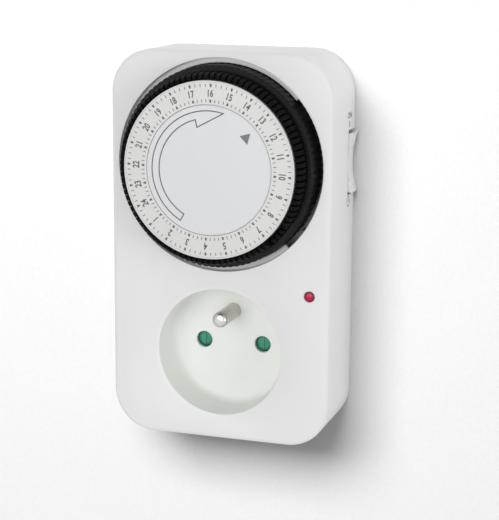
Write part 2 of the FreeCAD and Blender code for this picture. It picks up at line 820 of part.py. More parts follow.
def make_earth_parts():
    socket = turned("plug_earth_socket", [
        ("0", STRAP_BACK),
        ("earth_bore + earth_socket_wall", STRAP_BACK),
        ("earth_bore + earth_socket_wall", TOTAL_DEPTH + " - socket_sink"),
        ("earth_bore + socket_flare", TOTAL_DEPTH + " - socket_sink"),
        ("earth_bore", TOTAL_DEPTH + " - socket_sink - socket_lip"),
        ("earth_bore", STRAP_BACK + " + socket_floor"),
        ("0", STRAP_BACK + " + socket_floor"),
    ], ("0", "earth_offset"))
    node(socket, "plug_earth_socket")
    strap = block("earth_strap_bar", ("-strap_width / 2", STRAP_BACK + " - strap_sheet",
                                      "-boss_radius + boss_wall + strap_end_gap"),
                  ("strap_width", "strap_sheet", "2 * boss_radius - 2 * boss_wall - 2 * strap_end_gap"))
    root = rod("earth_root_hole", "earth_root_radius + pin_fit", "strap_sheet + 2 * cut_over",
               ("0", STRAP_BACK + " - strap_sheet - cut_over", "earth_offset"))
    node(cut("earth_strap", strap, root), "earth_strap")
    pin = turned("outlet_earth_pin", [
        ("0", "recess_depth - earth_pin_length"),
        ("pin_radius", "recess_depth - earth_pin_length"),
        ("pin_radius", "recess_depth"),
        ("pin_neck", "recess_depth"),
        ("pin_neck", STRAP_BACK + " - strap_sheet"),
        ("earth_root_radius", STRAP_BACK + " - strap_sheet"),
        ("earth_root_radius", STRAP_BACK),
        ("0", STRAP_BACK),
    ], ("0", "earth_offset"))
    round_edges(pin, "pin_tip", on_depth(size("recess_depth") - size("earth_pin_length")))
    node(pin, "outlet_earth_pin")
    outside = "(boss_radius + clip_proud)"
    foot = "(boss_radius - boss_wall - clip_foot)"
    for label, sign in (("earth_clip_upper", "1"), ("earth_clip_lower", "-1")):
        clip = across_bar(label, [
            (STRAP_BACK, "%s * %s" % (sign, foot)),
            (STRAP_BACK, "%s * (%s - clip_slope)" % (sign, outside)),
            (TOTAL_DEPTH + " - clip_bend", "%s * %s" % (sign, outside)),
            (TOTAL_DEPTH + " - clip_turn", "%s * %s" % (sign, outside)),
            (TOTAL_DEPTH + " - clip_nose", "%s * (%s - clip_drop)" % (sign, outside)),
            (TOTAL_DEPTH + " - clip_nose - clip_sheet", "%s * (%s - clip_drop)" % (sign, outside)),
            (TOTAL_DEPTH + " - clip_turn - clip_sheet / 2", "%s * (%s - clip_sheet)" % (sign, outside)),
            (TOTAL_DEPTH + " - clip_bend", "%s * (%s - clip_sheet)" % (sign, outside)),
            (STRAP_BACK + " + clip_sheet", "%s * (%s - clip_slope - clip_sheet)" % (sign, outside)),
            (STRAP_BACK + " + clip_sheet", "%s * %s" % (sign, foot)),
        ], "-clip_width / 2", "clip_width")
        node(clip, label)


CONTACT_END = "(contact_start + contact_length)"
CONTACT_SIDE = "(pin_spacing / 2 + pin_radius + pin_fit + contact_sheet)"
RISE_SIDE = "(%s + strip_rise_gap)" % CONTACT_SIDE


def make_outlet_contacts():
    inner = "(pin_radius + pin_fit)"
    outer = "(pin_radius + pin_fit + contact_sheet)"
    for label, across in (("outlet_contact_live", "pin_spacing / 2"),
                          ("outlet_contact_neutral", "-pin_spacing / 2")):
        clip = upright_bar(label, [
            ("%s - %s - contact_flare" % (across, outer), "contact_start"),
            ("%s - %s - contact_flare" % (across, inner), "contact_start"),
            ("%s - %s" % (across, inner), "contact_start + contact_flare_length"),
            ("%s - %s" % (across, inner), CONTACT_END + " - contact_sheet"),
            ("%s + %s" % (across, inner), CONTACT_END + " - contact_sheet"),
            ("%s + %s" % (across, inner), "contact_start + contact_flare_length"),
            ("%s + %s + contact_flare" % (across, inner), "contact_start"),
            ("%s + %s + contact_flare" % (across, outer), "contact_start"),
            ("%s + %s" % (across, outer), "contact_start + contact_flare_length"),
            ("%s + %s" % (across, outer), CONTACT_END),
            ("%s - %s" % (across, outer), CONTACT_END),
            ("%s - %s" % (across, outer), "contact_start + contact_flare_length"),
        ], "-contact_width / 2", "contact_width")
        node(clip, label)
    carrier = rod("carrier_disc", "boss_radius - boss_wall - part_gap", "carrier_sheet",
                  ("0", CONTACT_END, "0"))
    flat = "(boss_radius - key_depth - boss_wall - part_gap)"
    flats = [block("carrier_flat_" + name,
                   (across, CONTACT_END + " - cut_over", "-key_width / 2 - boss_wall - part_gap"),
                   ("key_depth + boss_wall", "carrier_sheet + 2 * cut_over",
                    "key_width + 2 * boss_wall + 2 * part_gap"))
             for name, across in (("left", "-%s - key_depth - boss_wall" % flat), ("right", flat))]
    ways = [block("carrier_way_" + name,
                  (across, CONTACT_END + " - cut_over", "-contact_width / 2 - part_gap"),
                  ("strip_sheet + 2 * part_gap", "carrier_sheet + 2 * cut_over",
                   "contact_width + 2 * part_gap"))
            for name, across in (("left", "-%s - strip_sheet - part_gap" % RISE_SIDE),
                                 ("right", RISE_SIDE + " - part_gap"))]
    holes = [rod("carrier_hole_" + name, "pin_root_radius + pin_fit", "carrier_sheet + 2 * cut_over",
                 (across, CONTACT_END + " - cut_over", "0"))
             for name, across in (("left", "-pin_spacing / 2"), ("right", "pin_spacing / 2"))]
    earth = rod("carrier_earth_hole", "earth_bore + earth_socket_wall + pin_fit",
                "carrier_sheet + 2 * cut_over",
                ("0", CONTACT_END + " - cut_over", "earth_offset"))
    node(cut("contact_carrier", carrier, *flats, *ways, *holes, earth), "contact_carrier")


def make_strips():
    """Flat brass strips between the plug, the microswitch and the outlet."""
    foot = STRIP_BACK + " - strip_sheet"
    half = "contact_width / 2"
    narrow = "(%s - part_gap)" % half
    end_low = "(switch_low - terminal_tail - terminal_lap)"
    live = fuse(
        "live_strip_sheet",
        block("live_foot", ("pin_spacing / 2 - strip_end", foot, "-" + half),
              (RISE_SIDE + " + strip_sheet - pin_spacing / 2 + strip_end", "strip_sheet", "contact_width")),
        block("live_rise", (RISE_SIDE, NEAR_LANE, "-" + half),
              ("strip_sheet", "%s + strip_sheet - %s" % (foot, NEAR_LANE), narrow)),
        block("live_cross", (RISE_SIDE, NEAR_LANE, "-" + half),
              ("strip_run + strip_step", "strip_sheet", narrow)),
        block("live_run", (RISE_SIDE + " + strip_step", NEAR_LANE, "-" + half),
              ("strip_run", "strip_sheet", "%s + %s + strip_end" % (end_low, half))),
        block("live_end", (RISE_SIDE + " + strip_step", NEAR_LANE, end_low),
              ("lever_side + blade_width / 2 - %s - strip_step" % RISE_SIDE, "strip_sheet", "strip_end")),
    )
    hole = rod("live_root_hole", "pin_root_radius + pin_fit", "strip_sheet + 2 * cut_over",
               ("pin_spacing / 2", foot + " - cut_over", "0"))
    node(cut("live_strip", live, hole), "live_strip")
    switched = fuse(
        "switched_strip_sheet",
        block("switched_foot", (CONTACT_SIDE, FAR_LANE, "part_gap"),
              ("strip_run + switched_step", "strip_sheet", narrow)),
        block("switched_run", (CONTACT_SIDE + " + switched_step", FAR_LANE, "part_gap"),
              ("strip_run", "strip_sheet", end_low + " + strip_end - part_gap")),
        block("switched_end", (CONTACT_SIDE + " + switched_step", FAR_LANE, end_low),
              ("lever_side + blade_width / 2 - %s - switched_step" % CONTACT_SIDE, "strip_sheet",
               "strip_end")),
    )
    node(switched, "switched_strip")
    neutral = fuse(
        "neutral_strip_sheet",
        block("neutral_foot", ("-%s - strip_sheet" % RISE_SIDE, foot, "-" + half),
              (RISE_SIDE + " + strip_sheet - pin_spacing / 2 + strip_end", "strip_sheet", "contact_width")),
        block("neutral_rise", ("-%s - strip_sheet" % RISE_SIDE, FAR_LANE, "-" + half),
              ("strip_sheet", "%s + strip_sheet - %s" % (foot, FAR_LANE), "contact_width")),
        block("neutral_wing", ("-%s - strip_sheet" % RISE_SIDE, FAR_LANE, "-" + half),
              ("strip_sheet + %s - %s" % (RISE_SIDE, CONTACT_SIDE), "strip_sheet", "contact_width")),
    )
    hole = rod("neutral_root_hole", "pin_root_radius + pin_fit", "strip_sheet + 2 * cut_over",
               ("-pin_spacing / 2", foot + " - cut_over", "0"))
    node(cut("neutral_strip", neutral, hole), "neutral_strip")


# Shutter behind the outlet floor

RAMP_FRONT = "(%s + part_gap)" % FLOOR_BACK
SHUTTER_FRONT = "(%s + shutter_ramp)" % RAMP_FRONT
SHUTTER_BACK = "(%s + shutter_plate)" % SHUTTER_FRONT
RETAINER_FRONT = "(%s + part_gap)" % SHUTTER_BACK


def make_shutter():
    half = "(aperture_radius + shutter_margin)"
    plate = block("shutter_slide", ("-pin_spacing / 2 - %s" % half, SHUTTER_FRONT, "-shutter_height / 2"),
                  ("pin_spacing + 2 * %s" % half, "shutter_plate", "shutter_height"))
    ramps = []
    for name, across in (("left", "-pin_spacing / 2"), ("right", "pin_spacing / 2")):
        ramps.append(upright_bar("shutter_ramp_" + name, [
            ("%s - %s" % (across, half), SHUTTER_FRONT + " + ramp_root"),
            ("%s - %s" % (across, half), RAMP_FRONT),
            ("%s - %s + ramp_flat" % (across, half), RAMP_FRONT),
            ("%s + %s" % (across, half), SHUTTER_FRONT + " - ramp_toe"),
            ("%s + %s" % (across, half), SHUTTER_FRONT + " + ramp_root"),
        ], "-shutter_height / 2", "shutter_height"))
    way = block("shutter_way", ("pin_spacing / 2 - shutter_travel - %s + ramp_root" % half,
                                SHUTTER_FRONT + " - cut_over",
                                "-pin_radius - way_margin"),
                ("shutter_travel - ramp_root", "shutter_plate + 2 * cut_over",
                 "2 * pin_radius + 2 * way_margin"))
    lug = block("shutter_lug", ("-lug_width - shutter_travel / 2", SHUTTER_FRONT,
                                "-shutter_height / 2 - lug_drop"),
                ("lug_width", "shutter_plate", "lug_drop + ramp_root"))
    node(fuse("shutter", cut("shutter_open", plate, way), *ramps, lug), "shutter")
    disc = rod("retainer_disc", "retainer_radius", "retainer_plate", ("0", RETAINER_FRONT, "0"))
    tall = RETAINER_FRONT + " - %s + ramp_root" % FLOOR_BACK
    rails = [block("retainer_rail_" + name, ("-rail_reach", FLOOR_BACK, up),
                   ("2 * rail_reach", tall, "rail_width"))
             for name, up in (("upper", "shutter_height / 2 + rail_gap"),
                              ("lower", "-shutter_height / 2 - rail_drop"))]
    stop = block("retainer_stop", ("shutter_spring_length - shutter_travel / 2 + stop_gap", FLOOR_BACK,
                                   "-shutter_height / 2 - rail_drop + rail_width"),
                 ("rail_width", tall, "lug_drop + ramp_root"))
    holes = [rod("retainer_hole_" + name, "aperture_radius + part_gap", "retainer_plate + 2 * cut_over",
                 (across, RETAINER_FRONT + " - cut_over", "0"))
             for name, across in (("left", "-pin_spacing / 2"), ("right", "pin_spacing / 2"))]
    earth = rod("retainer_earth_hole", "pin_neck + pin_fit", "12",
                ("0", FLOOR_BACK + " - cut_over", "earth_offset"))
    solid = fuse("retainer_solid", disc, *rails, stop)
    node(cut("shutter_retainer", solid, *holes, earth), "shutter_retainer")
    spring = doc.addObject("Part::Feature", "shutter_spring")
    spring.Shape = coil(size("shutter_spring_radius"), size("shutter_spring_wire"),
                        size("shutter_spring_turns"), size("shutter_spring_length"))
    spring.Placement.Rotation = AXIS_TURNS["x"]
    place(spring, ("shutter_spring_wire / 2 + spring_clearance - shutter_travel / 2",
                   SHUTTER_FRONT + " + 2 * spring_clearance",
                   "-shutter_height / 2 - spring_drop"))
    node(spring, "shutter_spring")


# Indicator lamp

def make_indicator():
    middle = ("lamp_side", "lamp_height")
    lens = turned("indicator_lens", [
        ("0", "-lens_dome"),
        ("lens_radius * lens_dome_inner", "-lens_dome * lens_dome_share"),
        ("lens_radius", "0"),
        ("lens_radius", "case_wall"),
        ("lens_collar", "case_wall"),
        ("lens_collar", "case_wall + lens_flange"),
        ("lens_radius", "case_wall + lens_flange"),
        ("lens_radius", "lens_length"),
        ("0", "lens_length"),
    ], middle)
    node(lens, "indicator_lens")
    neon = turned("neon_lamp", [
        ("0", "lens_length + part_gap"),
        ("neon_radius / 2", "lens_length + part_gap"),
        ("neon_radius", "lens_length + part_gap + neon_shoulder"),
        ("neon_radius", "lens_length + neon_length - neon_foot"),
        ("neon_radius * neon_end_share", "lens_length + neon_length"),
        ("0", "lens_length + neon_length"),
    ], middle)
    node(neon, "neon_lamp")
    resistor = turned("neon_resistor", [
        ("0", "lens_length + neon_length + part_gap"),
        ("resistor_radius", "lens_length + neon_length + part_gap"),
        ("resistor_radius", "lens_length + neon_length + part_gap + resistor_length"),
        ("0", "lens_length + neon_length + part_gap + resistor_length"),
    ], middle)
    node(resistor, "neon_resistor")


# Dial: drum, scale, fixed hub and tappets

def make_drum():
    bore = "(hub_post_radius + running_fit)"
    drum = turned("drum_body", [
        (bore, "drum_sleeve_gap - dial_front + hub_disc_sheet"),
        ("drum_hub", "drum_sleeve_gap - dial_front + hub_disc_sheet"),
        ("drum_hub", "-drum_web_front"),
        ("scale_radius - scale_support", "-drum_web_front"),
        ("scale_radius - scale_support", "scale_sheet - dial_front"),
        ("tappet_inner - tappet_fit - turn_gap", "scale_sheet - dial_front"),
        ("tappet_inner - tappet_fit - turn_gap", "-drum_front"),
        ("drum_radius - drum_edge", "-drum_front"),
        ("drum_radius", "drum_edge - drum_front"),
        ("drum_radius", "drum_back"),
        ("drum_radius - drum_rim", "drum_back"),
        ("drum_radius - drum_rim", "drum_web - drum_web_front"),
        ("drum_hub", "drum_web - drum_web_front"),
        ("drum_hub", "drum_back"),
        ("drum_neck", "drum_back"),
        ("drum_neck", "drum_neck_back"),
        (bore, "drum_neck_back"),
    ], ("0", "dial_height"))
    slots = doc.addObject("Part::Feature", "tappet_slots")
    wide = size("tappet_width") + 2 * size("tappet_fit")
    inner = size("tappet_inner") - size("tappet_fit")
    outer = size("tappet_outer") + size("tappet_fit")
    over = size("cut_over")
    deep = size("drum_front") + size("drum_back") + 2 * over
    slot = Part.makeBox(outer - inner, deep, wide, V(inner, -size("drum_front") - over, -wide / 2))
    spaces = range(int(size("tappet_count")))
    slots.Shape = Part.makeCompound([turned_copy(slot, number) for number in spaces])
    place(slots, ("0", "0", "dial_height"))
    node(cut("drum", drum, slots), "drum")
    ring = turned("scale_ring", [
        ("hub_disc_radius + turn_gap", "-dial_front"),
        ("scale_radius - scale_rim", "-dial_front"),
        ("scale_radius - scale_rim", "-dial_front - scale_rim_rise"),
        ("scale_radius", "-dial_front - scale_rim_rise"),
        ("scale_radius", "scale_sheet - dial_front"),
        ("hub_disc_radius + turn_gap", "scale_sheet - dial_front"),
    ], ("0", "dial_height"))
    node(ring, "scale_ring")


def quarter_angle(number):
    """Angle of a quarter-hour space, in degrees from +X towards +Z."""
    return size("window_start") + (number + 0.5) * 360 / size("tappet_count")


def turned_copy(shape, number):
    """A copy of a shape turned about the dial axis to one quarter-hour space."""
    copy = shape.copy()
    copy.rotate(V(0, 0, 0), V(0, 1, 0), -quarter_angle(number))
    return copy


def make_tappets():
    inner, outer = size("tappet_inner"), size("tappet_outer")
    front, back = -size("tappet_front"), size("tappet_back")
    shoulder, bevel = size("tappet_shoulder"), size("tappet_bevel")
    wide = size("tappet_width")
    outline = [
        V(inner, front, -wide / 2),
        V(inner + shoulder, front, -wide / 2),
        V(outer, front + bevel, -wide / 2),
        V(outer, back, -wide / 2),
        V(inner, back, -wide / 2),
    ]
    tappet = Part.Face(Part.makePolygon(outline + outline[:1])).extrude(V(0, 0, wide))
    pushed = tappet.translated(V(0, size("tappet_travel"), 0))
    groups = [("tappets_pushed", pushed, range(PUSHED_TAPPETS))]
    first = PUSHED_TAPPETS
    for number, count in enumerate(RAISED_GROUPS, start=1):
        groups.append(("tappets_group_%d" % number, tappet, range(first, first + count)))
        first += count
    for label, shape, spaces in groups:
        group = doc.addObject("Part::Feature", label)
        group.Shape = Part.makeCompound([turned_copy(shape, number) for number in spaces])
        place(group, ("0", "0", "dial_height"))
        node(group, label)


def make_hub():
    seat = "(hub_disc_sheet - dial_front)"
    post = turned("hub_post", [
        ("hub_post_bore + running_fit", seat + " + post_gap"),
        ("hub_post_radius", seat + " + post_gap"),
        ("hub_post_radius", "hub_post_flange_front"),
        ("hub_post_flange", "hub_post_flange_front"),
        ("hub_post_flange", "chassis_front"),
        ("hub_post_root", "chassis_front"),
        ("hub_post_root", "chassis_front + chassis_sheet"),
        ("0", "chassis_front + chassis_sheet"),
        ("0", seat + " + post_gap + stub_length + post_floor"),
        ("hub_post_bore + running_fit", seat + " + post_gap + stub_length + post_floor"),
    ], ("0", "dial_height"))
    node(post, "hub_post")
    disc = turned("hub_disc", [
        ("0", "-dial_front"),
        ("hub_disc_radius - hub_disc_edge", "-dial_front"),
        ("hub_disc_radius", "hub_disc_edge - dial_front"),
        ("hub_disc_radius", seat),
        ("hub_post_radius", seat),
        ("hub_post_radius", seat + " + post_gap"),
        ("hub_post_bore", seat + " + post_gap"),
        ("hub_post_bore", seat + " + post_gap + stub_length"),
        ("0", seat + " + post_gap + stub_length"),
    ], ("0", "dial_height"))
    node(disc, "hub_disc")


# Gear train

WHEEL_REACH = "(gear_module * (drum_gear_teeth + pinion_teeth) / 2)"
MOTOR_REACH = "(gear_module * (wheel_teeth + pinion_teeth) / 2)"
WHEEL_AT = (WHEEL_REACH + " * cos(wheel_direction)",
            "dial_height + %s * sin(wheel_direction)" % WHEEL_REACH)
MOTOR_AT = (WHEEL_AT[0] + " + %s * cos(motor_direction)" % MOTOR_REACH,
            WHEEL_AT[1] + " + %s * sin(motor_direction)" % MOTOR_REACH)


def turn_body(body, degrees):
    """Turn a gear about its own axis, so that its teeth enter the next gear's gaps."""
    body.Placement.Rotation = FreeCAD.Rotation(V(0, 1, 0), -degrees)


def make_gears():
    first = gear("drum_gear", "drum_gear_teeth", "drum_neck + running_fit", "drum_gear_front",
                 "drum_gear_width", ("0", "dial_height"))
    node(first, "drum_gear")
    washer = turned("clutch_washer", [
        ("drum_neck + running_fit", "drum_gear_front + drum_gear_width + washer_gap"),
        ("washer_radius", "drum_gear_front + drum_gear_width + washer_gap"),
        ("washer_radius", "drum_gear_front + drum_gear_width + washer_gap + washer_sheet"),
        ("drum_neck + running_fit", "drum_gear_front + drum_gear_width + washer_gap + washer_sheet"),
    ], ("0", "dial_height"))
    node(washer, "clutch_washer")
    bore = "arbor_radius + running_fit"
    pinion = gear("compound_pinion", "pinion_teeth", bore, "drum_gear_front - gear_overhang",
                  "wheel_front - drum_gear_front + 2 * gear_overhang", WHEEL_AT)
    wheel = gear("compound_wheel", "wheel_teeth", bore, "wheel_front", "wheel_width", WHEEL_AT)
    toward_drum = size("wheel_direction") + 180
    pinion_step = 360 / size("pinion_teeth")
    drum_step = 360 / size("drum_gear_teeth")
    wheel_step = 360 / size("wheel_teeth")
    drum_phase = (size("wheel_direction") % drum_step) / drum_step
    pinion_turn = toward_drum + (0.5 + drum_phase) * pinion_step
    turn_body(pinion, pinion_turn)
    turn_body(wheel, pinion_turn)
    node(fuse("compound_gear", pinion, wheel), "compound_gear")
    wheel_phase = ((size("motor_direction") - pinion_turn) % wheel_step) / wheel_step
    output = gear("motor_pinion_gear", "pinion_teeth", "0", "wheel_front - gear_overhang",
                  "wheel_width + 2 * gear_overhang", MOTOR_AT)
    turn_body(output, size("motor_direction") + 180 + (0.5 + wheel_phase) * pinion_step)
    shaft = rod("output_shaft", "shaft_radius", "chassis_front + chassis_sheet + shaft_reach - wheel_front",
                (MOTOR_AT[0], "wheel_front", MOTOR_AT[1]))
    node(fuse("motor_pinion", output, shaft), "motor_pinion")
    arbor = rod("gear_arbor", "arbor_radius", "chassis_front + chassis_sheet - arbor_front",
                (WHEEL_AT[0], "arbor_front", WHEEL_AT[1]))
    node(arbor, "gear_arbor")


# Chassis plate and motor

CHASSIS_BACK = "(chassis_front + chassis_sheet)"

HOLE_THROUGH = "(chassis_sheet + 2 * cut_over)"


def motor_ears():
    """Middles of the two motor fixings, left and right of the motor."""
    return [("left", MOTOR_AT[0] + " - motor_ear"), ("right", MOTOR_AT[0] + " + motor_ear")]


def make_chassis():
    top = "(case_height - case_foot - case_wall - chassis_margin)"
    low = "(post_height_middle - post_radius - chassis_low_gap)"
    plate = deep_plate("chassis_blank", "2 * chassis_side", "%s - %s" % (top, low), "chassis_corner",
                       ("0", "(%s + %s) / 2" % (top, low)), "chassis_front", "chassis_sheet")
    notch = block("chassis_notch", ("chassis_notch_side", "chassis_front - cut_over", "chassis_notch_low"),
                  ("chassis_side", "chassis_sheet + 2 * cut_over", "chassis_notch_high - chassis_notch_low"))
    cup = rod("chassis_cup_way", "recess_radius + recess_wall + part_gap", "chassis_sheet + 2 * cut_over",
              ("0", "chassis_front - cut_over", "0"))
    ears = [block("lever_ear_" + name, (across, "ear_front", "lever_pivot - ear_half_height"),
                  ("ear_sheet", "chassis_front - ear_front + chassis_sheet / 2", "2 * ear_half_height"))
            for name, across in (("left", LEVER_LEFT + " - lever_side_gap - ear_sheet"),
                                 ("right", LEVER_LEFT + " + lever_width + lever_side_gap"))]
    pivot = rod("ear_hole", "pivot_radius", "8", ("lever_side - 4", LEVER_DEPTH, "lever_pivot"), "x")
    above = "(chassis_front - cut_over)"
    root = rod("hub_root_hole", "hub_post_root + running_fit", HOLE_THROUGH, ("0", above, "dial_height"))
    arbor = rod("arbor_hole", "arbor_radius", HOLE_THROUGH, (WHEEL_AT[0], above, WHEEL_AT[1]))
    shaft = rod("shaft_hole", "shaft_radius + shaft_margin", HOLE_THROUGH, (MOTOR_AT[0], above, MOTOR_AT[1]))
    posts = [rod("chassis_hole_" + name, "screw_radius + screw_fit", HOLE_THROUGH, (across, above, up))
             for name, across, up in POSTS[:4]]
    motor = [rod("motor_hole_" + name, "motor_screw", HOLE_THROUGH, (across, above, MOTOR_AT[1]))
             for name, across in motor_ears()]
    solid = fuse("chassis_solid", cut("chassis_open", plate, notch, cup), *ears)
    node(cut("chassis_plate", solid, pivot, root, arbor, shaft, *posts, *motor), "chassis_plate")


def make_motor():
    back = "(%s + motor_length)" % CHASSIS_BACK
    front_disc = turned("motor_front_disc", [
        ("shaft_radius + running_fit", CHASSIS_BACK),
        ("motor_radius", CHASSIS_BACK),
        ("motor_radius", CHASSIS_BACK + " + motor_sheet"),
        ("shaft_radius + running_fit", CHASSIS_BACK + " + motor_sheet"),
    ], MOTOR_AT)
    wings = block("motor_wings", (MOTOR_AT[0] + " - motor_ear - motor_ear_width / 2", CHASSIS_BACK,
                                  MOTOR_AT[1] + " - motor_ear_width / 2"),
                  ("2 * motor_ear + motor_ear_width", "motor_sheet", "motor_ear_width"))
    shaft = rod("end_plate_shaft_hole", "shaft_radius + running_fit", "motor_sheet + 2 * cut_over",
                (MOTOR_AT[0], CHASSIS_BACK + " - cut_over", MOTOR_AT[1]))
    fixings = [rod("wing_hole_" + name, "motor_screw + screw_fit", "motor_sheet + 2 * cut_over",
                   (across, CHASSIS_BACK + " - cut_over", MOTOR_AT[1]))
               for name, across in motor_ears()]
    plate = cut("motor_end_plate", fuse("end_plate_solid", front_disc, wings), shaft, *fixings)
    node(plate, "motor_end_plate")
    inside = "(%s + motor_sheet)" % CHASSIS_BACK
    can = turned("motor_can", [
        ("motor_radius - motor_sheet", inside),
        ("motor_radius", inside),
        ("motor_radius", back),
        ("0", back),
        ("0", back + " - motor_sheet"),
        ("motor_radius - motor_sheet", back + " - motor_sheet"),
    ], MOTOR_AT)
    node(can, "motor_can")
    bobbin_back = "(%s - motor_sheet)" % back
    bobbin = turned("motor_bobbin", [
        ("bobbin_inner", inside),
        ("bobbin_outer", inside),
        ("bobbin_outer", inside + " + bobbin_sheet"),
        ("bobbin_inner + bobbin_sheet", inside + " + bobbin_sheet"),
        ("bobbin_inner + bobbin_sheet", bobbin_back + " - bobbin_sheet"),
        ("bobbin_outer", bobbin_back + " - bobbin_sheet"),
        ("bobbin_outer", bobbin_back),
        ("bobbin_inner", bobbin_back),
    ], MOTOR_AT)
    node(bobbin, "motor_bobbin")
    winding = turned("motor_winding", [
        ("bobbin_inner + bobbin_sheet", inside + " + bobbin_sheet"),
        ("winding_outer", inside + " + bobbin_sheet"),
        ("winding_outer", bobbin_back + " - bobbin_sheet"),
        ("bobbin_inner + bobbin_sheet", bobbin_back + " - bobbin_sheet"),
    ], MOTOR_AT)
    node(winding, "motor_winding")
    magnet = "(%s + magnet_gap)" % inside
    rotor = turned("motor_rotor", [
        ("0", magnet),
        ("rotor_radius", magnet),
        ("rotor_radius", magnet + " + rotor_length"),
        ("shaft_radius", magnet + " + rotor_length"),
        ("shaft_radius", bobbin_back + " - bearing_gap"),
        ("0", bobbin_back + " - bearing_gap"),
    ], MOTOR_AT)
    node(rotor, "motor_rotor")
    screws = [turned("motor_screw_" + name, [
        ("0", "chassis_front + bearing_gap"),
        ("motor_screw - motor_screw_fit", "chassis_front + bearing_gap"),
        ("motor_screw - motor_screw_fit", inside),
        ("motor_screw + motor_screw_head", inside),
        ("motor_screw + motor_screw_top", inside + " + motor_screw_rise"),
        ("0", inside + " + motor_screw_rise"),
    ], (across, MOTOR_AT[1])) for name, across in motor_ears()]
    group = doc.addObject("Part::Compound", "motor_screw_group")
    group.Links = screws
    node(group, "motor_screws")


# Trip lever and microswitch

LEVER_DEPTH = "(chassis_front - lever_eye - lever_play)"
LEVER_LEFT = "(lever_side - lever_width / 2)"


def make_lever():
    bar = block("lever_bar", (LEVER_LEFT, "lever_front", "lever_pivot"),
                ("lever_width", "lever_sheet", "lever_top - lever_pivot"))
    eye = rod("lever_eye_ring", "lever_eye", "lever_width", (LEVER_LEFT, LEVER_DEPTH, "lever_pivot"), "x")
    nose_front = "(tappet_back + tappet_travel + part_gap)"
    nose = across_bar("lever_nose_ramp", [
        ("lever_front + nose_root", "dial_height - lever_nose / 2"),
        ("lever_front + nose_root", "dial_height + lever_nose / 2"),
        (nose_front, "dial_height + lever_nose / 4"),
        (nose_front, "dial_height - lever_nose / 4"),
    ], LEVER_LEFT, "lever_width")
    hole = rod("lever_hole", "pivot_radius + running_fit", "8",
               ("lever_side - 4", LEVER_DEPTH, "lever_pivot"), "x")
    node(cut("trip_lever", fuse("lever_solid", bar, eye, nose), hole), "trip_lever")
    outside = "(%s - lever_side_gap - ear_sheet - lever_spring_length - lever_pin_spare)" % LEVER_LEFT
    pin = rod("lever_pin", "pivot_radius",
              "lever_width + 2 * lever_side_gap + 2 * ear_sheet + lever_spring_length + lever_pin_spare",
              (outside, LEVER_DEPTH, "lever_pivot"), "x")
    node(pin, "lever_pin")
    spring = doc.addObject("Part::Feature", "lever_spring")
    spring.Shape = coil(size("lever_spring_radius"), size("lever_spring_wire"),
                        size("lever_spring_turns"), size("lever_spring_length"))
    spring.Placement.Rotation = AXIS_TURNS["x"]
    place(spring, (outside + " + lever_pin_spare / 2", LEVER_DEPTH, "lever_pivot"))
    node(spring, "lever_spring")


SWITCH_LEFT = "(lever_side - switch_thickness / 2)"
BLADE_FRONT = "(switch_front + plunger_reach)"
BLADE_ROOT = "(switch_low + switch_length - blade_root)"


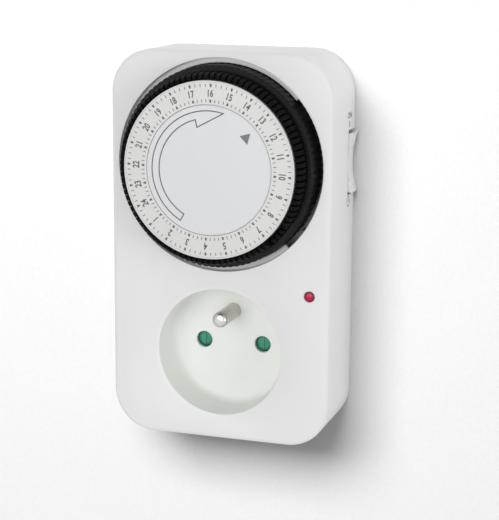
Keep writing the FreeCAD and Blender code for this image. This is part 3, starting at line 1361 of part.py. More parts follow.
def make_microswitch():
    left = "(%s + switch_wall)" % SWITCH_LEFT
    outer = block("switch_outer", (left, "switch_front", "switch_low"),
                  ("switch_thickness - switch_wall", "switch_depth", "switch_length"))
    inner = block("switch_inner", (left + " - cut_over", "switch_front + switch_wall",
                                   "switch_low + switch_wall"),
                  ("switch_thickness - 2 * switch_wall + cut_over", "switch_depth - 2 * switch_wall",
                   "switch_length - 2 * switch_wall"))
    way = block("plunger_way", ("lever_side - plunger_width / 2 - running_fit", "switch_front - cut_over",
                                "plunger_height - plunger_width / 2 - running_fit"),
                ("plunger_width + 2 * running_fit", "switch_wall + 2 * cut_over",
                 "plunger_width + 2 * running_fit"))
    exits = [block("terminal_way_" + name, ("lever_side - blade_width / 2", lane + " - terminal_sheet",
                                            "switch_low - cut_over"),
                   ("blade_width", "terminal_sheet", "switch_wall + 2 * cut_over"))
             for name, lane in (("near", NEAR_LANE), ("far", FAR_LANE))]
    node(cut("microswitch_case", outer, inner, way, *exits), "microswitch_case")
    cover = block("microswitch_cover", (SWITCH_LEFT, "switch_front", "switch_low"),
                  ("switch_wall", "switch_depth", "switch_length"))
    node(cover, "microswitch_cover")
    rest = "(lever_front + lever_sheet + part_gap)"
    plunger = block("microswitch_plunger", ("lever_side - plunger_width / 2", rest,
                                            "plunger_height - plunger_width / 2"),
                    ("plunger_width", BLADE_FRONT + " - %s - plunger_play" % rest, "plunger_width"))
    node(plunger, "microswitch_plunger")
    button_at = "(switch_low + switch_wall + button_inset)"
    blade = block("switch_blade", ("lever_side - blade_width / 2", BLADE_FRONT, button_at + " - blade_tip"),
                  ("blade_width", "blade_sheet", BLADE_ROOT + " + blade_tail - %s + blade_tip" % button_at))
    button = rod("blade_button", "contact_button", "button_height",
                 ("lever_side", BLADE_FRONT + " + blade_sheet - button_sink", button_at))
    hinge_at = ("lever_side - blade_width / 2", BLADE_FRONT + " + blade_sheet", BLADE_ROOT)
    roll = rod("blade_roll_end", "blade_roll", "blade_width", hinge_at, "x")
    node(fuse("microswitch_blade", blade, button, roll), "microswitch_blade")
    low = "(switch_low - terminal_tail)"
    anvil = fuse(
        "anvil_joined",
        rod("anvil_button", "contact_button", "contact_button", ("lever_side", ANVIL_FRONT, button_at)),
        block("anvil_strip", ("lever_side - blade_width / 2", NEAR_LANE + " - terminal_sheet", low),
              ("blade_width", "terminal_sheet", button_at + " - %s + blade_tip" % low)),
    )
    node(anvil, "microswitch_contact")
    common = fuse(
        "common_solid",
        block("common_tail", ("lever_side - blade_width / 2", FAR_LANE + " - terminal_sheet", low),
              ("blade_width", "terminal_sheet", BLADE_ROOT + " + blade_tail - " + low)),
        block("common_foot", ("lever_side - blade_width / 2", BLADE_FRONT + " + blade_sheet", BLADE_ROOT),
              ("blade_width", FAR_LANE + " - %s - blade_sheet" % BLADE_FRONT, "blade_roll + blade_foot")),
    )
    seat = rod("blade_roll_seat", "blade_roll + running_fit", "blade_width", hinge_at, "x")
    node(cut("common_joined", common, seat), "microswitch_terminal")


# Rocker button

def rocker_slice(name, outline, depth):
    """One layer of the rocker from its front edge backwards."""
    body = doc.addObject("PartDesign::Body", name)
    sketch = sketch_on(body, "XZ_Plane", "-rocker_front")
    polygon(sketch, outline)
    pad(body, sketch, depth, reverse=True)
    return place(body, ("0", "0", "dial_height"))


def make_rocker():
    tip = "case_width / 2 + rocker_rise"
    half = "(rocker_length / 2)"
    inner_depth = "(case_depth - case_wall - part_gap - rocker_front)"
    shelf = "(case_width / 2 - case_wall + part_gap)"
    inside = rocker_slice("rocker_inside", [
        ("rocker_inner", "-rocker_inner_length / 2"),
        (shelf + " + rocker_chamfer", "rocker_chamfer - " + half),
        (shelf + " + rocker_chamfer", half + " - rocker_chamfer"),
        ("rocker_inner", "rocker_inner_length / 2"),
    ], inner_depth)
    outside = rocker_slice("rocker_outside", [
        (shelf, "rocker_taper - " + half),
        (tip, "-" + half),
        (tip, half),
        (shelf, half + " - rocker_taper"),
    ], "rocker_width")
    radius = "((%s * %s + rocker_hollow * rocker_hollow) / (2 * rocker_hollow))" % (half, half)
    hollow = rod("rocker_hollow_tool", radius, "rocker_width + 2 * cut_over",
                 ("%s + %s - rocker_hollow" % (tip, radius), "rocker_front - cut_over", "dial_height"))
    boss = rod("rocker_boss_ring", "rocker_boss", inner_depth,
               ("rocker_pivot", "rocker_front", "dial_height"))
    neck = block("rocker_neck", ("rocker_pivot", "rocker_front", "dial_height - rocker_boss"),
                 ("rocker_inner - rocker_pivot + rocker_chamfer", inner_depth, "2 * rocker_boss"))
    pins = rod("rocker_pins", "rocker_pin", inner_depth + " + 2 * rocker_pin_length",
               ("rocker_pivot", "rocker_front - rocker_pin_length", "dial_height"))
    face = cut("rocker_face", outside, hollow)
    node(fuse("rocker", face, inside, boss, neck, pins), "rocker")


def check_and_write():
    """Stop on any failed object, then write every node."""
    failed = [thing.Name for thing in doc.Objects
              if "Invalid" in thing.State or "Error" in thing.State]
    if failed:
        raise RuntimeError("failed objects: " + ", ".join(failed))
    labels = set()
    for piece in nodes:
        shape = piece.Shape
        if shape.isNull() or not shape.isValid() or not shape.Solids:
            raise RuntimeError("bad shape: " + piece.Label)
        if piece.Label in labels:
            raise RuntimeError("label used twice: " + piece.Label)
        labels.add(piece.Label)
        shape.exportStep("parts/%s.step" % piece.Label)
        print("%-24s %2d solids %9.2f mm3" % (piece.Label, len(shape.Solids), shape.Volume))
    print(len(nodes), "nodes")


make_front_housing()
make_rear_housing()
make_housing_screws()
make_plug_pins()
make_earth_parts()
make_outlet_contacts()
make_strips()
make_shutter()
make_indicator()
make_drum()
make_tappets()
make_hub()
make_gears()
make_chassis()
make_motor()
make_lever()
make_microswitch()
make_rocker()
doc.recompute()
check_and_write()
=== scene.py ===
"""Looks of a plug-in timer socket with a 24 hour dial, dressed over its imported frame.

Lengths in this file are millimetres until they go into a mesh, a lamp, the camera or a
material, and noise scales are per metre. X runs to the right seen from the front, +Y runs
into the wall and +Z is up.
"""
from __future__ import annotations

import json
import logging
import math
from abc import ABC, abstractmethod
from dataclasses import dataclass
from enum import Enum
from typing import Any

import bpy
import numpy as np
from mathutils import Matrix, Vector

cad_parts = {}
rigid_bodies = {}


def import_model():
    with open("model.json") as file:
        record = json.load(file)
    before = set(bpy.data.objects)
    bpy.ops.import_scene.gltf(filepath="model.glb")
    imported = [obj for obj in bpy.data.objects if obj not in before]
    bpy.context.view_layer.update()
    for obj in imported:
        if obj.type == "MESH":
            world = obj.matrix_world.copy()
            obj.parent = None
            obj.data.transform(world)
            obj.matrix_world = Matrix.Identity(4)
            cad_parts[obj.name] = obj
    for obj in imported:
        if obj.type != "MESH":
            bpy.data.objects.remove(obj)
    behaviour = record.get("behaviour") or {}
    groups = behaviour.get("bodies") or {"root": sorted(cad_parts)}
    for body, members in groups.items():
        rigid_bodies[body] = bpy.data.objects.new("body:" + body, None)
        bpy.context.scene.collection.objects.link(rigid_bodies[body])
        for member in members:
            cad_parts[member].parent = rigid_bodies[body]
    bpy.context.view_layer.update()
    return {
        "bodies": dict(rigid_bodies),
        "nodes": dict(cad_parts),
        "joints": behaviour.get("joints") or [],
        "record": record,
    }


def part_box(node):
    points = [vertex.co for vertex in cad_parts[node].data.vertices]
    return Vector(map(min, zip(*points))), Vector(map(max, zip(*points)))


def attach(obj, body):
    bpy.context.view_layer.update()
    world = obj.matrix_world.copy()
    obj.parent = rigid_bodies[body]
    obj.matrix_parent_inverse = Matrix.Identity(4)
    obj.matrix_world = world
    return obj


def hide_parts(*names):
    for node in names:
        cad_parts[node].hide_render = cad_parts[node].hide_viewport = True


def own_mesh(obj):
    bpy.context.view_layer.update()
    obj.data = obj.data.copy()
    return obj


LOG = logging.getLogger("timer_socket")
MM = 0.001
HOURS = 24
QUARTERS = 4 * HOURS
DIAL_HEIGHT = 57.0
DIAL_FACE = -52.9
MERGE_DIGITS = 4

Colour = tuple[float, float, float]
Place = tuple[float, float, float]
Pair = tuple[float, float]
Rows = tuple[tuple[float, ...], ...]
Faces = list[list[int]]
Form = tuple[np.ndarray, Faces]  # points and faces
Piece = bpy.types.Object
Socket = bpy.types.NodeSocket


# Node wiring

class Wiring:
    """Adds nodes to one node tree and joins them."""

    def __init__(self, tree: bpy.types.NodeTree) -> None:
        """Keep the tree that the nodes go into."""
        self.tree = tree

    def add(self, kind: str, inputs: dict[Any, Any] | None = None, **settings: Any) -> bpy.types.Node:
        """Add one node.

        Args:
            kind: The node's type without its Shader prefix, such as NodeMath.
            inputs: Values or output sockets, by input name or number.
            settings: Properties of the node itself.

        Returns:
            The new node.
        """
        node = self.tree.nodes.new("Shader" + kind)
        for name, value in settings.items():
            setattr(node, name, value)
        for key, value in (inputs or {}).items():
            if isinstance(value, Socket):
                self.join(value, node.inputs[key])
            else:
                node.inputs[key].default_value = value
        return node

    def join(self, output: Socket, socket: Socket) -> None:
        """Feed an output into an input."""
        self.tree.links.new(output, socket)

    def maths(self, operation: str, *values: Any) -> Socket:
        """Return the result of one maths operation on values or sockets."""
        return self.add("NodeMath", dict(enumerate(values)), operation=operation).outputs[0]

    def spread(self, value: Socket, low: float, high: float, to_low: Any, to_high: Any) -> Socket:
        """Return a value stretched from low..high to to_low..to_high, held at both ends."""
        return self.add("NodeMapRange", {"Value": value, "From Min": low, "From Max": high,
                                         "To Min": to_low, "To Max": to_high}).outputs[0]

    def noise(self, where: Socket, scale: Any, detail: float = 2.0, roughness: float = 0.5) -> Socket:
        """Return smooth noise over a place, mostly between 0.3 and 0.7."""
        return self.add("NodeTexNoise", {"Vector": where, "Scale": scale, "Detail": detail,
                                         "Roughness": roughness}).outputs["Fac"]

    def swing(self, noise: Socket, low: float = -1.0, high: float = 1.0) -> Socket:
        """Return noise with its usual range stretched to low..high."""
        return self.spread(noise, 0.3, 0.7, low, high)

    def mix(self, share: Socket, near: Any, far: Any) -> Socket:
        """Return the colour a share of the way from near to far, each three numbers or a socket."""
        ends = [(*end, 1.0) if isinstance(end, tuple) else end for end in (near, far)]
        return self.add("NodeMix", {0: share, 6: ends[0], 7: ends[1]}, data_type="RGBA").outputs[2]

    def two_tone(self, value: Socket, span: Pair, near: Any, far: Any) -> Socket:
        """Return a colour that runs from near to far as a length crosses a span in millimetres."""
        return self.mix(self.spread(value, span[0] * MM, span[1] * MM, 0.0, 1.0), near, far)

    def axis_distance(self, where: Socket, middle: Pair = (0.0, 0.0)) -> Socket:
        """Return the distance from an axis along Y, whose X and Z are given: the root of x^2 + z^2."""
        parts = self.add("NodeSeparateXYZ", {0: where})
        squares = []
        for axis, place in zip(("X", "Z"), middle):
            off = self.maths("SUBTRACT", parts.outputs[axis], place * MM)
            squares.append(self.maths("MULTIPLY", off, off))
        return self.maths("SQRT", self.maths("ADD", *squares))

    def seen(self) -> tuple[bpy.types.Node, Socket]:
        """Return the light path node, and a socket that is 1 for camera, glossy and transmitted rays."""
        rays = self.add("NodeLightPath")
        mirrored = self.maths("MAXIMUM", rays.outputs["Is Glossy Ray"], rays.outputs["Is Transmission Ray"])
        return rays, self.maths("MAXIMUM", rays.outputs["Is Camera Ray"], mirrored)


class Effect(Enum):
    """Effects over a surface that several finishes share: what each is given and what it returns."""

    TONE_DRIFT = (("Vector", "Colour", "Scale", "Amount"), ("Colour",))
    MOULDED_GRAIN = (("Vector", "Scale", "Base", "Spread"), ("Height", "Roughness"))
    HANDLING_MARKS = (("Vector", "Scale", "Amount"), ("Mask",))
    # softened edge normal, and a mask of the edges that finishes lighten, partly as wear and partly as a
    # painted highlight
    EDGE_POLISH = (("Vector", "Radius"), ("Normal", "Mask"))
    TURNING_MARKS = (("Vector", "Rings"), ("Height",))
    ROLLED_GRAIN = (("Vector", "Stretch", "Base", "Spread"), ("Height", "Roughness"))


SOCKET_KINDS = {"Vector": "Vector", "Stretch": "Vector", "Normal": "Vector", "Colour": "Color"}


class EffectShop:
    """Builds each shared node group once and hands it to the finishes.

    Each effect has a method named after it, which takes the group's wiring and what the
    group is given, by name, and returns the group's results by name.
    """

    def __init__(self) -> None:
        """Start with no group made."""
        self.made: dict[Effect, bpy.types.NodeTree] = {}

    def tree(self, effect: Effect) -> bpy.types.NodeTree:
        """Return the node group of an effect, made at its first use.

        Each of its sockets is a float unless SOCKET_KINDS says otherwise.
        """
        if effect not in self.made:
            name = effect.name.lower()
            tree = bpy.data.node_groups.new(name, "ShaderNodeTree")
            for side, labels in zip(("INPUT", "OUTPUT"), effect.value):
                for label in labels:
                    kind = "NodeSocket" + SOCKET_KINDS.get(label, "Float")
                    tree.interface.new_socket(label, in_out=side, socket_type=kind)
            start, end = tree.nodes.new("NodeGroupInput"), tree.nodes.new("NodeGroupOutput")
            wiring = Wiring(tree)
            for label, result in getattr(self, "_" + name)(wiring, start.outputs).items():
                wiring.join(result, end.inputs[label])
            self.made[effect] = tree
        return self.made[effect]

    @staticmethod
    def _tone_drift(w: Wiring, given: Any) -> dict[str, Socket]:
        """Colour times one plus Amount times slow noise between -1 and 1."""
        cloud = w.swing(w.noise(given["Vector"], given["Scale"], 3.0, 0.55))
        gain = w.maths("ADD", w.maths("MULTIPLY", cloud, given["Amount"]), 1.0)
        toned = w.add("NodeVectorMath", {0: given["Colour"], "Scale": gain}, operation="SCALE")
        return {"Colour": toned.outputs[0]}

    @staticmethod
    def _moulded_grain(w: Wiring, given: Any) -> dict[str, Socket]:
        """The spark-eroded grain of a mould: small cells over fine noise, with broader dull patches."""
        vector, scale = given["Vector"], given["Scale"]
        cells = w.add("NodeTexVoronoi", {"Vector": vector, "Scale": scale}, feature="SMOOTH_F1")
        fine = w.noise(vector, w.maths("MULTIPLY", scale, 1.7))
        patch = w.swing(w.noise(vector, w.maths("MULTIPLY", scale, 0.06), 4.0))
        return {"Height": w.maths("ADD", w.maths("MULTIPLY", cells.outputs["Distance"], 0.6), fine),
                "Roughness": w.maths("ADD", given["Base"], w.maths("MULTIPLY", patch, given["Spread"]))}

    @staticmethod
    def _handling_marks(w: Wiring, given: Any) -> dict[str, Socket]:
        """Hairline scratches: thin crests of two stretched noises, kept where a broad noise allows them."""
        lines = []
        for turn in (0.5, 2.1):
            laid = w.add("NodeMapping", {"Vector": given["Vector"], "Rotation": (0.3, turn, 0.2),
                                         "Scale": (1.0, 1.0, 0.05)})
            crest = w.maths("SUBTRACT", w.noise(laid.outputs[0], given["Scale"], 1.0), 0.5)
            lines.append(w.spread(w.maths("ABSOLUTE", crest), 0.0, 0.012, 1.0, 0.0))
        broad = w.spread(w.noise(given["Vector"], 90.0), 0.52, 0.66, 0.0, 1.0)
        kept = w.maths("MULTIPLY", w.maths("MAXIMUM", *lines), broad)
        return {"Mask": w.maths("MULTIPLY", kept, given["Amount"])}

    @staticmethod
    def _edge_polish(w: Wiring, given: Any) -> dict[str, Socket]:
        """A rounded normal at sharp edges, and a broken mask where it leaves the true one."""
        soft = w.add("NodeBevel", {"Radius": given["Radius"]}, samples=6).outputs[0]
        true = w.add("NodeNewGeometry").outputs["Normal"]
        meet = w.add("NodeVectorMath", {0: soft, 1: true}, operation="DOT_PRODUCT").outputs["Value"]
        patch = w.spread(w.noise(given["Vector"], 420.0, 4.0), 0.38, 0.62, 0.25, 1.0)
        # the mask marks edges that finishes lighten, partly as wear and partly as a painted highlight
        return {"Normal": soft, "Mask": w.maths("MULTIPLY", w.spread(meet, 0.80, 0.995, 1.0, 0.0), patch)}

    @staticmethod
    def _turning_marks(w: Wiring, given: Any) -> dict[str, Socket]:
        """Rings round a point: a sine of the distance from it in X and Z, broken up by noise."""
        phase = w.maths("MULTIPLY", w.axis_distance(given["Vector"]), given["Rings"])
        shift = w.maths("MULTIPLY", w.noise(given["Vector"], 600.0), 2.0)
        return {"Height": w.maths("SINE", w.maths("ADD", phase, shift))}

    @staticmethod
    def _rolled_grain(w: Wiring, given: Any) -> dict[str, Socket]:
        """The lengthwise grain of rolled or drawn metal: noise stretched along one direction."""
        laid = w.add("NodeVectorMath", {0: given["Vector"], 1: given["Stretch"]}, operation="MULTIPLY")
        stain = w.swing(w.noise(given["Vector"], 260.0, 3.0))
        return {"Height": w.noise(laid.outputs[0], 1.0, 3.0, 0.7),
                "Roughness": w.maths("ADD", given["Base"], w.maths("MULTIPLY", stain, given["Spread"]))}


class Canvas(Wiring):
    """A material's wiring, with its Object coordinates and the effects that finishes share."""

    def __init__(self, material: bpy.types.Material, shop: EffectShop) -> None:
        """Keep the shared effects and add the coordinates."""
        super().__init__(material.node_tree)
        self.shop = shop
        self.where = self.add("NodeTexCoord").outputs["Object"]

    def place(self, effect: Effect, **inputs: Any) -> Any:
        """Place an effect's group, with its inputs by name, and return its outputs."""
        inputs["Vector"] = self.where
        return self.add("NodeGroup", inputs, node_tree=self.shop.tree(effect)).outputs


# Finishes

DRIFT_SCALE = 55.0
SCRATCH_SCALE = 420.0
# the pale colour that scratches and edges fade to; on edges it is partly wear and partly a painted highlight
WEAR_AND_SHEEN_PALE = 0.35


@dataclass(frozen=True)
class Finish(ABC):
    """What every finish of the timer has in common.

    The colour is linear. Drift is how far the tone wanders, and the edge lightening how much
    lighter the edges are, partly as wear and partly as a painted highlight. Edge is the radius
    of the softened edges, bump the height of the relief, spread how far the roughness wanders,
    and scratches how strongly they show.
    """

    name: str
    colour: Colour
    roughness: float
    drift: float = 0.03
    polish: float = 0.08
    edge: float = 0.25
    bump: float = 0.02
    specular: float = 0.5
    spread: float = 0.05
    scratches: float = 0.04

    def values(self) -> dict[str, float]:
        """Return the surface shader's constant values, by input name."""
        return {"Specular IOR Level": self.specular}

    def ground(self, canvas: Canvas) -> Any:
        """Return the colour under all wear, as a value or a socket."""
        return (*self.colour, 1.0)

    @abstractmethod
    def grained(self, canvas: Canvas) -> tuple[Socket, Socket]:
        """Return the surface's roughness and the height of its relief."""

    def tint(self, canvas: Canvas) -> tuple[Socket, Socket]:
        """Return the drifting colour with scratches and paler edges, partly worn and partly a painted
        highlight, and the softened edge normal.
        """
        toned = canvas.place(Effect.TONE_DRIFT, Colour=self.ground(canvas), Scale=DRIFT_SCALE,
                             Amount=self.drift)
        edges = canvas.place(Effect.EDGE_POLISH, Radius=self.edge * MM)
        marks = canvas.place(Effect.HANDLING_MARKS, Scale=SCRATCH_SCALE, Amount=self.scratches)
        # paler edges: partly wear, partly a painted highlight where light catches them
        wear_and_sheen = canvas.maths("MAXIMUM", canvas.maths("MULTIPLY", edges["Mask"], self.polish), marks["Mask"])
        pale = tuple(WEAR_AND_SHEEN_PALE + (1.0 - WEAR_AND_SHEEN_PALE) * part for part in self.colour)
        return canvas.mix(wear_and_sheen, toned["Colour"], pale), edges["Normal"]

    def material(self, shop: EffectShop) -> bpy.types.Material:
        """Return the finish as a material."""
        material = bpy.data.materials.new(self.name + "_finish")
        material.use_nodes = True
        material.diffuse_color = (*self.colour, 1.0)
        canvas = Canvas(material, shop)
        shader = material.node_tree.nodes["Principled BSDF"]
        for name, value in self.values().items():
            shader.inputs[name].default_value = value
        colour, normal = self.tint(canvas)
        rough, height = self.grained(canvas)
        relief = canvas.add("NodeBump", {"Height": height, "Normal": normal, "Strength": 1.0,
                                         "Distance": self.bump * MM}).outputs[0]
        for name, output in (("Base Color", colour), ("Roughness", rough), ("Normal", relief)):
            canvas.join(output, shader.inputs[name])
        return material


@dataclass(frozen=True)
class Plastic(Finish):
    """Moulded plastic with a fine grain and the odd hairline scratch."""

    grain: float = 2600.0

    def grained(self, canvas: Canvas) -> tuple[Socket, Socket]:
        """Return the roughness and the relief of a mould's grain."""
        grain = canvas.place(Effect.MOULDED_GRAIN, Scale=self.grain, Base=self.roughness, Spread=self.spread)
        return grain["Roughness"], grain["Height"]


@dataclass(frozen=True)
class CasePlastic(Plastic):
    """The case's plastic, slightly warmer inside the outlet recess, and paler there as painted light that
    lifts the recess's shade.
    """

    # painted light: the paler colour inside the recess stands in for light that cancels the shade there
    cup: Colour = (0.80, 0.80, 0.80)
    cup_span: Pair = (19.5, 20.7)

    def ground(self, canvas: Canvas) -> Any:
        """Return the recess's colour, with its painted light, mixed into the case's by the distance from the
        outlet's axis.
        """
        return canvas.two_tone(canvas.axis_distance(canvas.where), self.cup_span, self.cup, self.colour)


@dataclass(frozen=True)
class ShutterPlastic(Plastic):
    """The shutter's plastic, with painted shade deepening its green round each plug opening and along a line
    down each opening's middle.
    """

    # painted shade: a darker green round each opening's edge and down each opening's middle, where shade
    # falls
    rim: Colour = (0.006, 0.10, 0.06)
    opening: Pair = (9.5, 0.0)
    rim_span: Pair = (1.5, 2.5)
    seam_span: Pair = (0.064, 0.16)

    def ground(self, canvas: Canvas) -> Any:
        """Return the green with painted shade: deeper by the distance from the nearer opening's axis and
        along a line down its middle.
        """
        folded = canvas.add("NodeVectorMath", {0: canvas.where}, operation="ABSOLUTE").outputs[0]
        distance = canvas.axis_distance(folded, self.opening)
        tone = canvas.two_tone(distance, self.rim_span, self.colour, self.rim)
        # painted shade along a line down the middle of each opening
        across = canvas.add("NodeSeparateXYZ", {0: folded}).outputs["X"]
        off = canvas.maths("ABSOLUTE", canvas.maths("SUBTRACT", across, self.opening[0] * MM))
        return canvas.two_tone(off, self.seam_span, self.rim, tone)


@dataclass(frozen=True)
class Metal(Finish):
    """Rolled, drawn or turned metal.

    Stretch is the grain's frequency along X, Y and Z, and rings that of the turning marks.
    """

    spread: float = 0.06
    scratches: float = 0.05
    stretch: tuple[float, float, float] = (3000.0, 400.0, 3000.0)
    rings: float = 0.0
    ring_share: float = 0.3

    def values(self) -> dict[str, float]:
        """Return the constant values of a metal."""
        return {**super().values(), "Metallic": 1.0}

    def grained(self, canvas: Canvas) -> tuple[Socket, Socket]:
        """Return the roughness and the relief of a rolled grain, with rings over it on turned metal."""
        grain = canvas.place(Effect.ROLLED_GRAIN, Stretch=self.stretch, Base=self.roughness,
                             Spread=self.spread)
        height = grain["Height"]
        if self.rings:
            turned = canvas.place(Effect.TURNING_MARKS, Rings=self.rings)
            height = canvas.maths("ADD", height, canvas.maths("MULTIPLY", turned["Height"], self.ring_share))
        return grain["Roughness"], height


@dataclass(frozen=True)
class Ink(Plastic):
    """Screen-printed ink: slightly patchy cover and a dull sheen."""

    spread: float = 0.08
    grain: float = 6000.0
    patches: float = 1400.0

    def tint(self, canvas: Canvas) -> tuple[Socket, Socket]:
        """Return the patchy colour and the true normal."""
        cover = canvas.place(Effect.TONE_DRIFT, Colour=self.ground(canvas), Scale=self.patches,
                             Amount=self.drift)
        return cover["Colour"], canvas.add("NodeNewGeometry").outputs["Normal"]


@dataclass(frozen=True)
class Lens(Plastic):
    """Tinted clear plastic: light passes through it and its skin is glossy."""

    spread: float = 0.03
    scratches: float = 0.02
    grain: float = 900.0
    clarity: float = 0.5
    coat: float = 0.25
    coat_roughness: float = 0.05
    # painted shade: the darker tint towards the lens's rim stands in for shade at its edge
    rim: Colour | None = None
    middle: Pair = (0.0, 0.0)
    rim_span: Pair = (0.8, 1.6)

    def values(self) -> dict[str, float]:
        """Return the constant values of a clear body under a glossy coat."""
        return {**super().values(), "Transmission Weight": self.clarity, "Coat Weight": self.coat,
                "Coat Roughness": self.coat_roughness}

    def ground(self, canvas: Canvas) -> Any:
        """Return the tint, with painted shade deepening it towards the rim where the lens has one."""
        if self.rim is None:
            return super().ground(canvas)
        distance = canvas.axis_distance(canvas.where, self.middle)
        return canvas.two_tone(distance, self.rim_span, self.colour, self.rim)


FINISHES: tuple[Finish, ...] = (
    # case_white's recess colour is painted light: paler inside the outlet recess to lift its shade
    CasePlastic("case_white", (0.80, 0.80, 0.80), 0.38, drift=0.010, polish=0.35, edge=0.5, bump=0.006,
                specular=0.36, grain=1900.0, cup=(0.855, 0.868, 0.835)),
    Plastic("case_white_rear", (0.77, 0.77, 0.765), 0.42, drift=0.015, polish=0.2, edge=0.4, bump=0.01,
            grain=1700.0),
    Plastic("rocker_white", (0.82, 0.82, 0.82), 0.26, drift=0.01, polish=0.3, edge=0.4, bump=0.004),
    Plastic("scale_white", (0.67, 0.667, 0.657), 0.30, drift=0.012, polish=0.2, edge=0.2, bump=0.003),
    Plastic("hub_face", (0.685, 0.69, 0.705), 0.30, drift=0.005, polish=0.3, edge=0.25, bump=0.003,
            spread=0.02),
    Plastic("dial_black", (0.006, 0.006, 0.007), 0.40, drift=0.2, polish=0.03, edge=0.2, bump=0.006,
            specular=0.12, grain=3200.0, scratches=0.015),
    Plastic("tappet_black", (0.0045, 0.0045, 0.005), 0.46, drift=0.25, polish=0.015, edge=0.15, bump=0.006,
            specular=0.035, grain=3200.0, scratches=0.01),
    ShutterPlastic("shutter_green", (0.030, 0.33, 0.205), 0.20, drift=0.08, polish=0.1, edge=0.3, bump=0.005,
                   specular=0.4, grain=2400.0),
    Plastic("inner_plastic", (0.66, 0.66, 0.64), 0.45, drift=0.03, bump=0.01, grain=1600.0),
    Plastic("gear_plastic", (0.62, 0.60, 0.55), 0.35, drift=0.05, bump=0.006),
    Plastic("switch_black", (0.020, 0.020, 0.022), 0.40, drift=0.15, bump=0.008, specular=0.4),
    Plastic("plunger_red", (0.42, 0.035, 0.025), 0.35, drift=0.06, bump=0.006),
    Plastic("resistor_body", (0.45, 0.33, 0.19), 0.40, drift=0.08, bump=0.01),
    Plastic("magnet_grey", (0.09, 0.09, 0.095), 0.55, drift=0.2, bump=0.02, grain=1400.0),
    Metal("nickel", (0.52, 0.505, 0.475), 0.20, drift=0.05, polish=0.2, edge=0.15, bump=0.0015, rings=9000.0),
    Metal("steel", (0.56, 0.56, 0.55), 0.30, drift=0.06, polish=0.15, edge=0.15, bump=0.004),
    Metal("clip_steel", (0.62, 0.615, 0.60), 0.24, drift=0.05, polish=0.15, edge=0.15, bump=0.003,
          stretch=(3000.0, 300.0, 3000.0)),
    Metal("spring_steel", (0.42, 0.42, 0.42), 0.28, drift=0.08, edge=0.05, bump=0.002),
    Metal("brass", (0.72, 0.52, 0.25), 0.28, drift=0.07, polish=0.15, edge=0.1, bump=0.003),
    Metal("copper", (0.72, 0.33, 0.18), 0.32, drift=0.10, edge=0.05, bump=0.01,
          stretch=(300.0, 9000.0, 300.0)),
    # lens_red's darker second colour is painted shade towards the lens's rim
    Lens("lens_red", (0.60, 0.004, 0.07), 0.14, drift=0.10, polish=0.02, edge=0.15, bump=0.002, specular=0.2,
         clarity=0.1, coat=0.1, rim=(0.10, 0.001, 0.015), middle=(28.1, 19.6)),
    Lens("lamp_glass", (0.85, 0.83, 0.80), 0.05, drift=0.02, edge=0.1, bump=0.002, clarity=0.9),
    Ink("print_black", (0.085, 0.085, 0.09), 0.5, drift=0.18, bump=0.002),
    Ink("print_outline", (0.105, 0.105, 0.11), 0.5, drift=0.15, bump=0.002),
    Ink("print_grey", (0.165, 0.165, 0.172), 0.5, drift=0.12, bump=0.002),
)


class Palette:
    """Every finish of the timer as a material, by name."""

    def __init__(self) -> None:
        """Make the shared effects and the materials."""
        shop = EffectShop()
        self.materials = {finish.name: finish.material(shop) for finish in FINISHES}

    def dress_nodes(self, nodes: dict[str, Piece]) -> None:
        """Give each CAD node the finish that its record slot names."""
        for node in nodes.values():
            for place in node.material_slots:
                slot = place.material.name.split(".")[0]
                place.material = self.materials.get(slot, place.material)


# Surfaces

def mesh_object(name: str, points: np.ndarray, faces: Faces) -> Piece:
    """Make an object from points in millimetres and faces.

    Args:
        name: The object's name.
        points: One row of X, Y and Z for each vertex.
        faces: Vertex numbers of each face, counter-clockwise seen from outside.

    Returns:
        The new object, linked to the scene.
    """
    mesh = bpy.data.meshes.new(name)
    mesh.from_pydata((points * MM).tolist(), [], faces)
    mesh.update()
    piece = bpy.data.objects.new(name, mesh)
    bpy.context.scene.collection.objects.link(piece)
    return piece


def coordinates(mesh: bpy.types.Mesh) -> np.ndarray:
    """Return a mesh's vertices as rows of X, Y and Z."""
    flat = np.zeros(len(mesh.vertices) * 3)
    mesh.vertices.foreach_get("co", flat)
    return flat.reshape(-1, 3)


def smooth(piece: Piece, degrees: float) -> None:
    """Shade a piece smooth, but for edges sharper than an angle."""
    piece.data.shade_smooth()
    piece.data.set_sharp_from_angle(angle=math.radians(degrees))


def turns(steps: int) -> np.ndarray:
    """Return equal steps round a circle in radians, from 0."""
    return np.linspace(0.0, 2.0 * math.pi, steps, endpoint=False)


def grid_faces(rows: int, columns: int, around: bool) -> Faces:
    """Return the quads between a grid's points, numbered row by row.

    The last column joins the first, and the last row the first where around is true.
    """
    row = np.arange(rows if around else rows - 1)[:, None]
    column = np.arange(columns)[None, :]
    after, beside = (row + 1) % rows, (column + 1) % columns
    quads = np.stack([row * columns + column, row * columns + beside,
                      after * columns + beside, after * columns + column], axis=-1)
    return quads.reshape(-1, 4).tolist()


def turned_ring(name: str, radii: np.ndarray, depths: np.ndarray, middle_z: float,
                grooves: tuple[int, float, np.ndarray] | None = None, segments: int = 192) -> Piece:
    """A ring turned round an axis along Y, with optional grip ribs.

    The point at turn t and profile place p is X = R cos t, Y = depth(p), Z = middle + R sin t,
    where R = radius(p) - weight(p) * depth of the groove at t, and the groove is a raised
    cosine to the fourth power, repeated count times round the ring.

    Args:
        name: The piece's name.
        radii: The closed profile's radii, counter-clockwise with the radius as X and Y as up.
        depths: The profile's places along Y.
        middle_z: The axis's height.
        grooves: How many ribs, how deep, and a weight for each profile place.
        segments: Steps round the ring.
    """
    turn = turns(segments)[:, None]
    radius = np.broadcast_to(radii[None, :], (segments, len(radii))).copy()
    if grooves:
        count, deep, weight = grooves
        radius -= weight[None, :] * deep * (0.5 + 0.5 * np.cos(count * turn)) ** 4
    depth = np.broadcast_to(depths[None, :], radius.shape)
    points = np.stack([radius * np.cos(turn), depth, middle_z + radius * np.sin(turn)], axis=-1)
    return mesh_object(name, points.reshape(-1, 3), grid_faces(segments, len(radii), True))


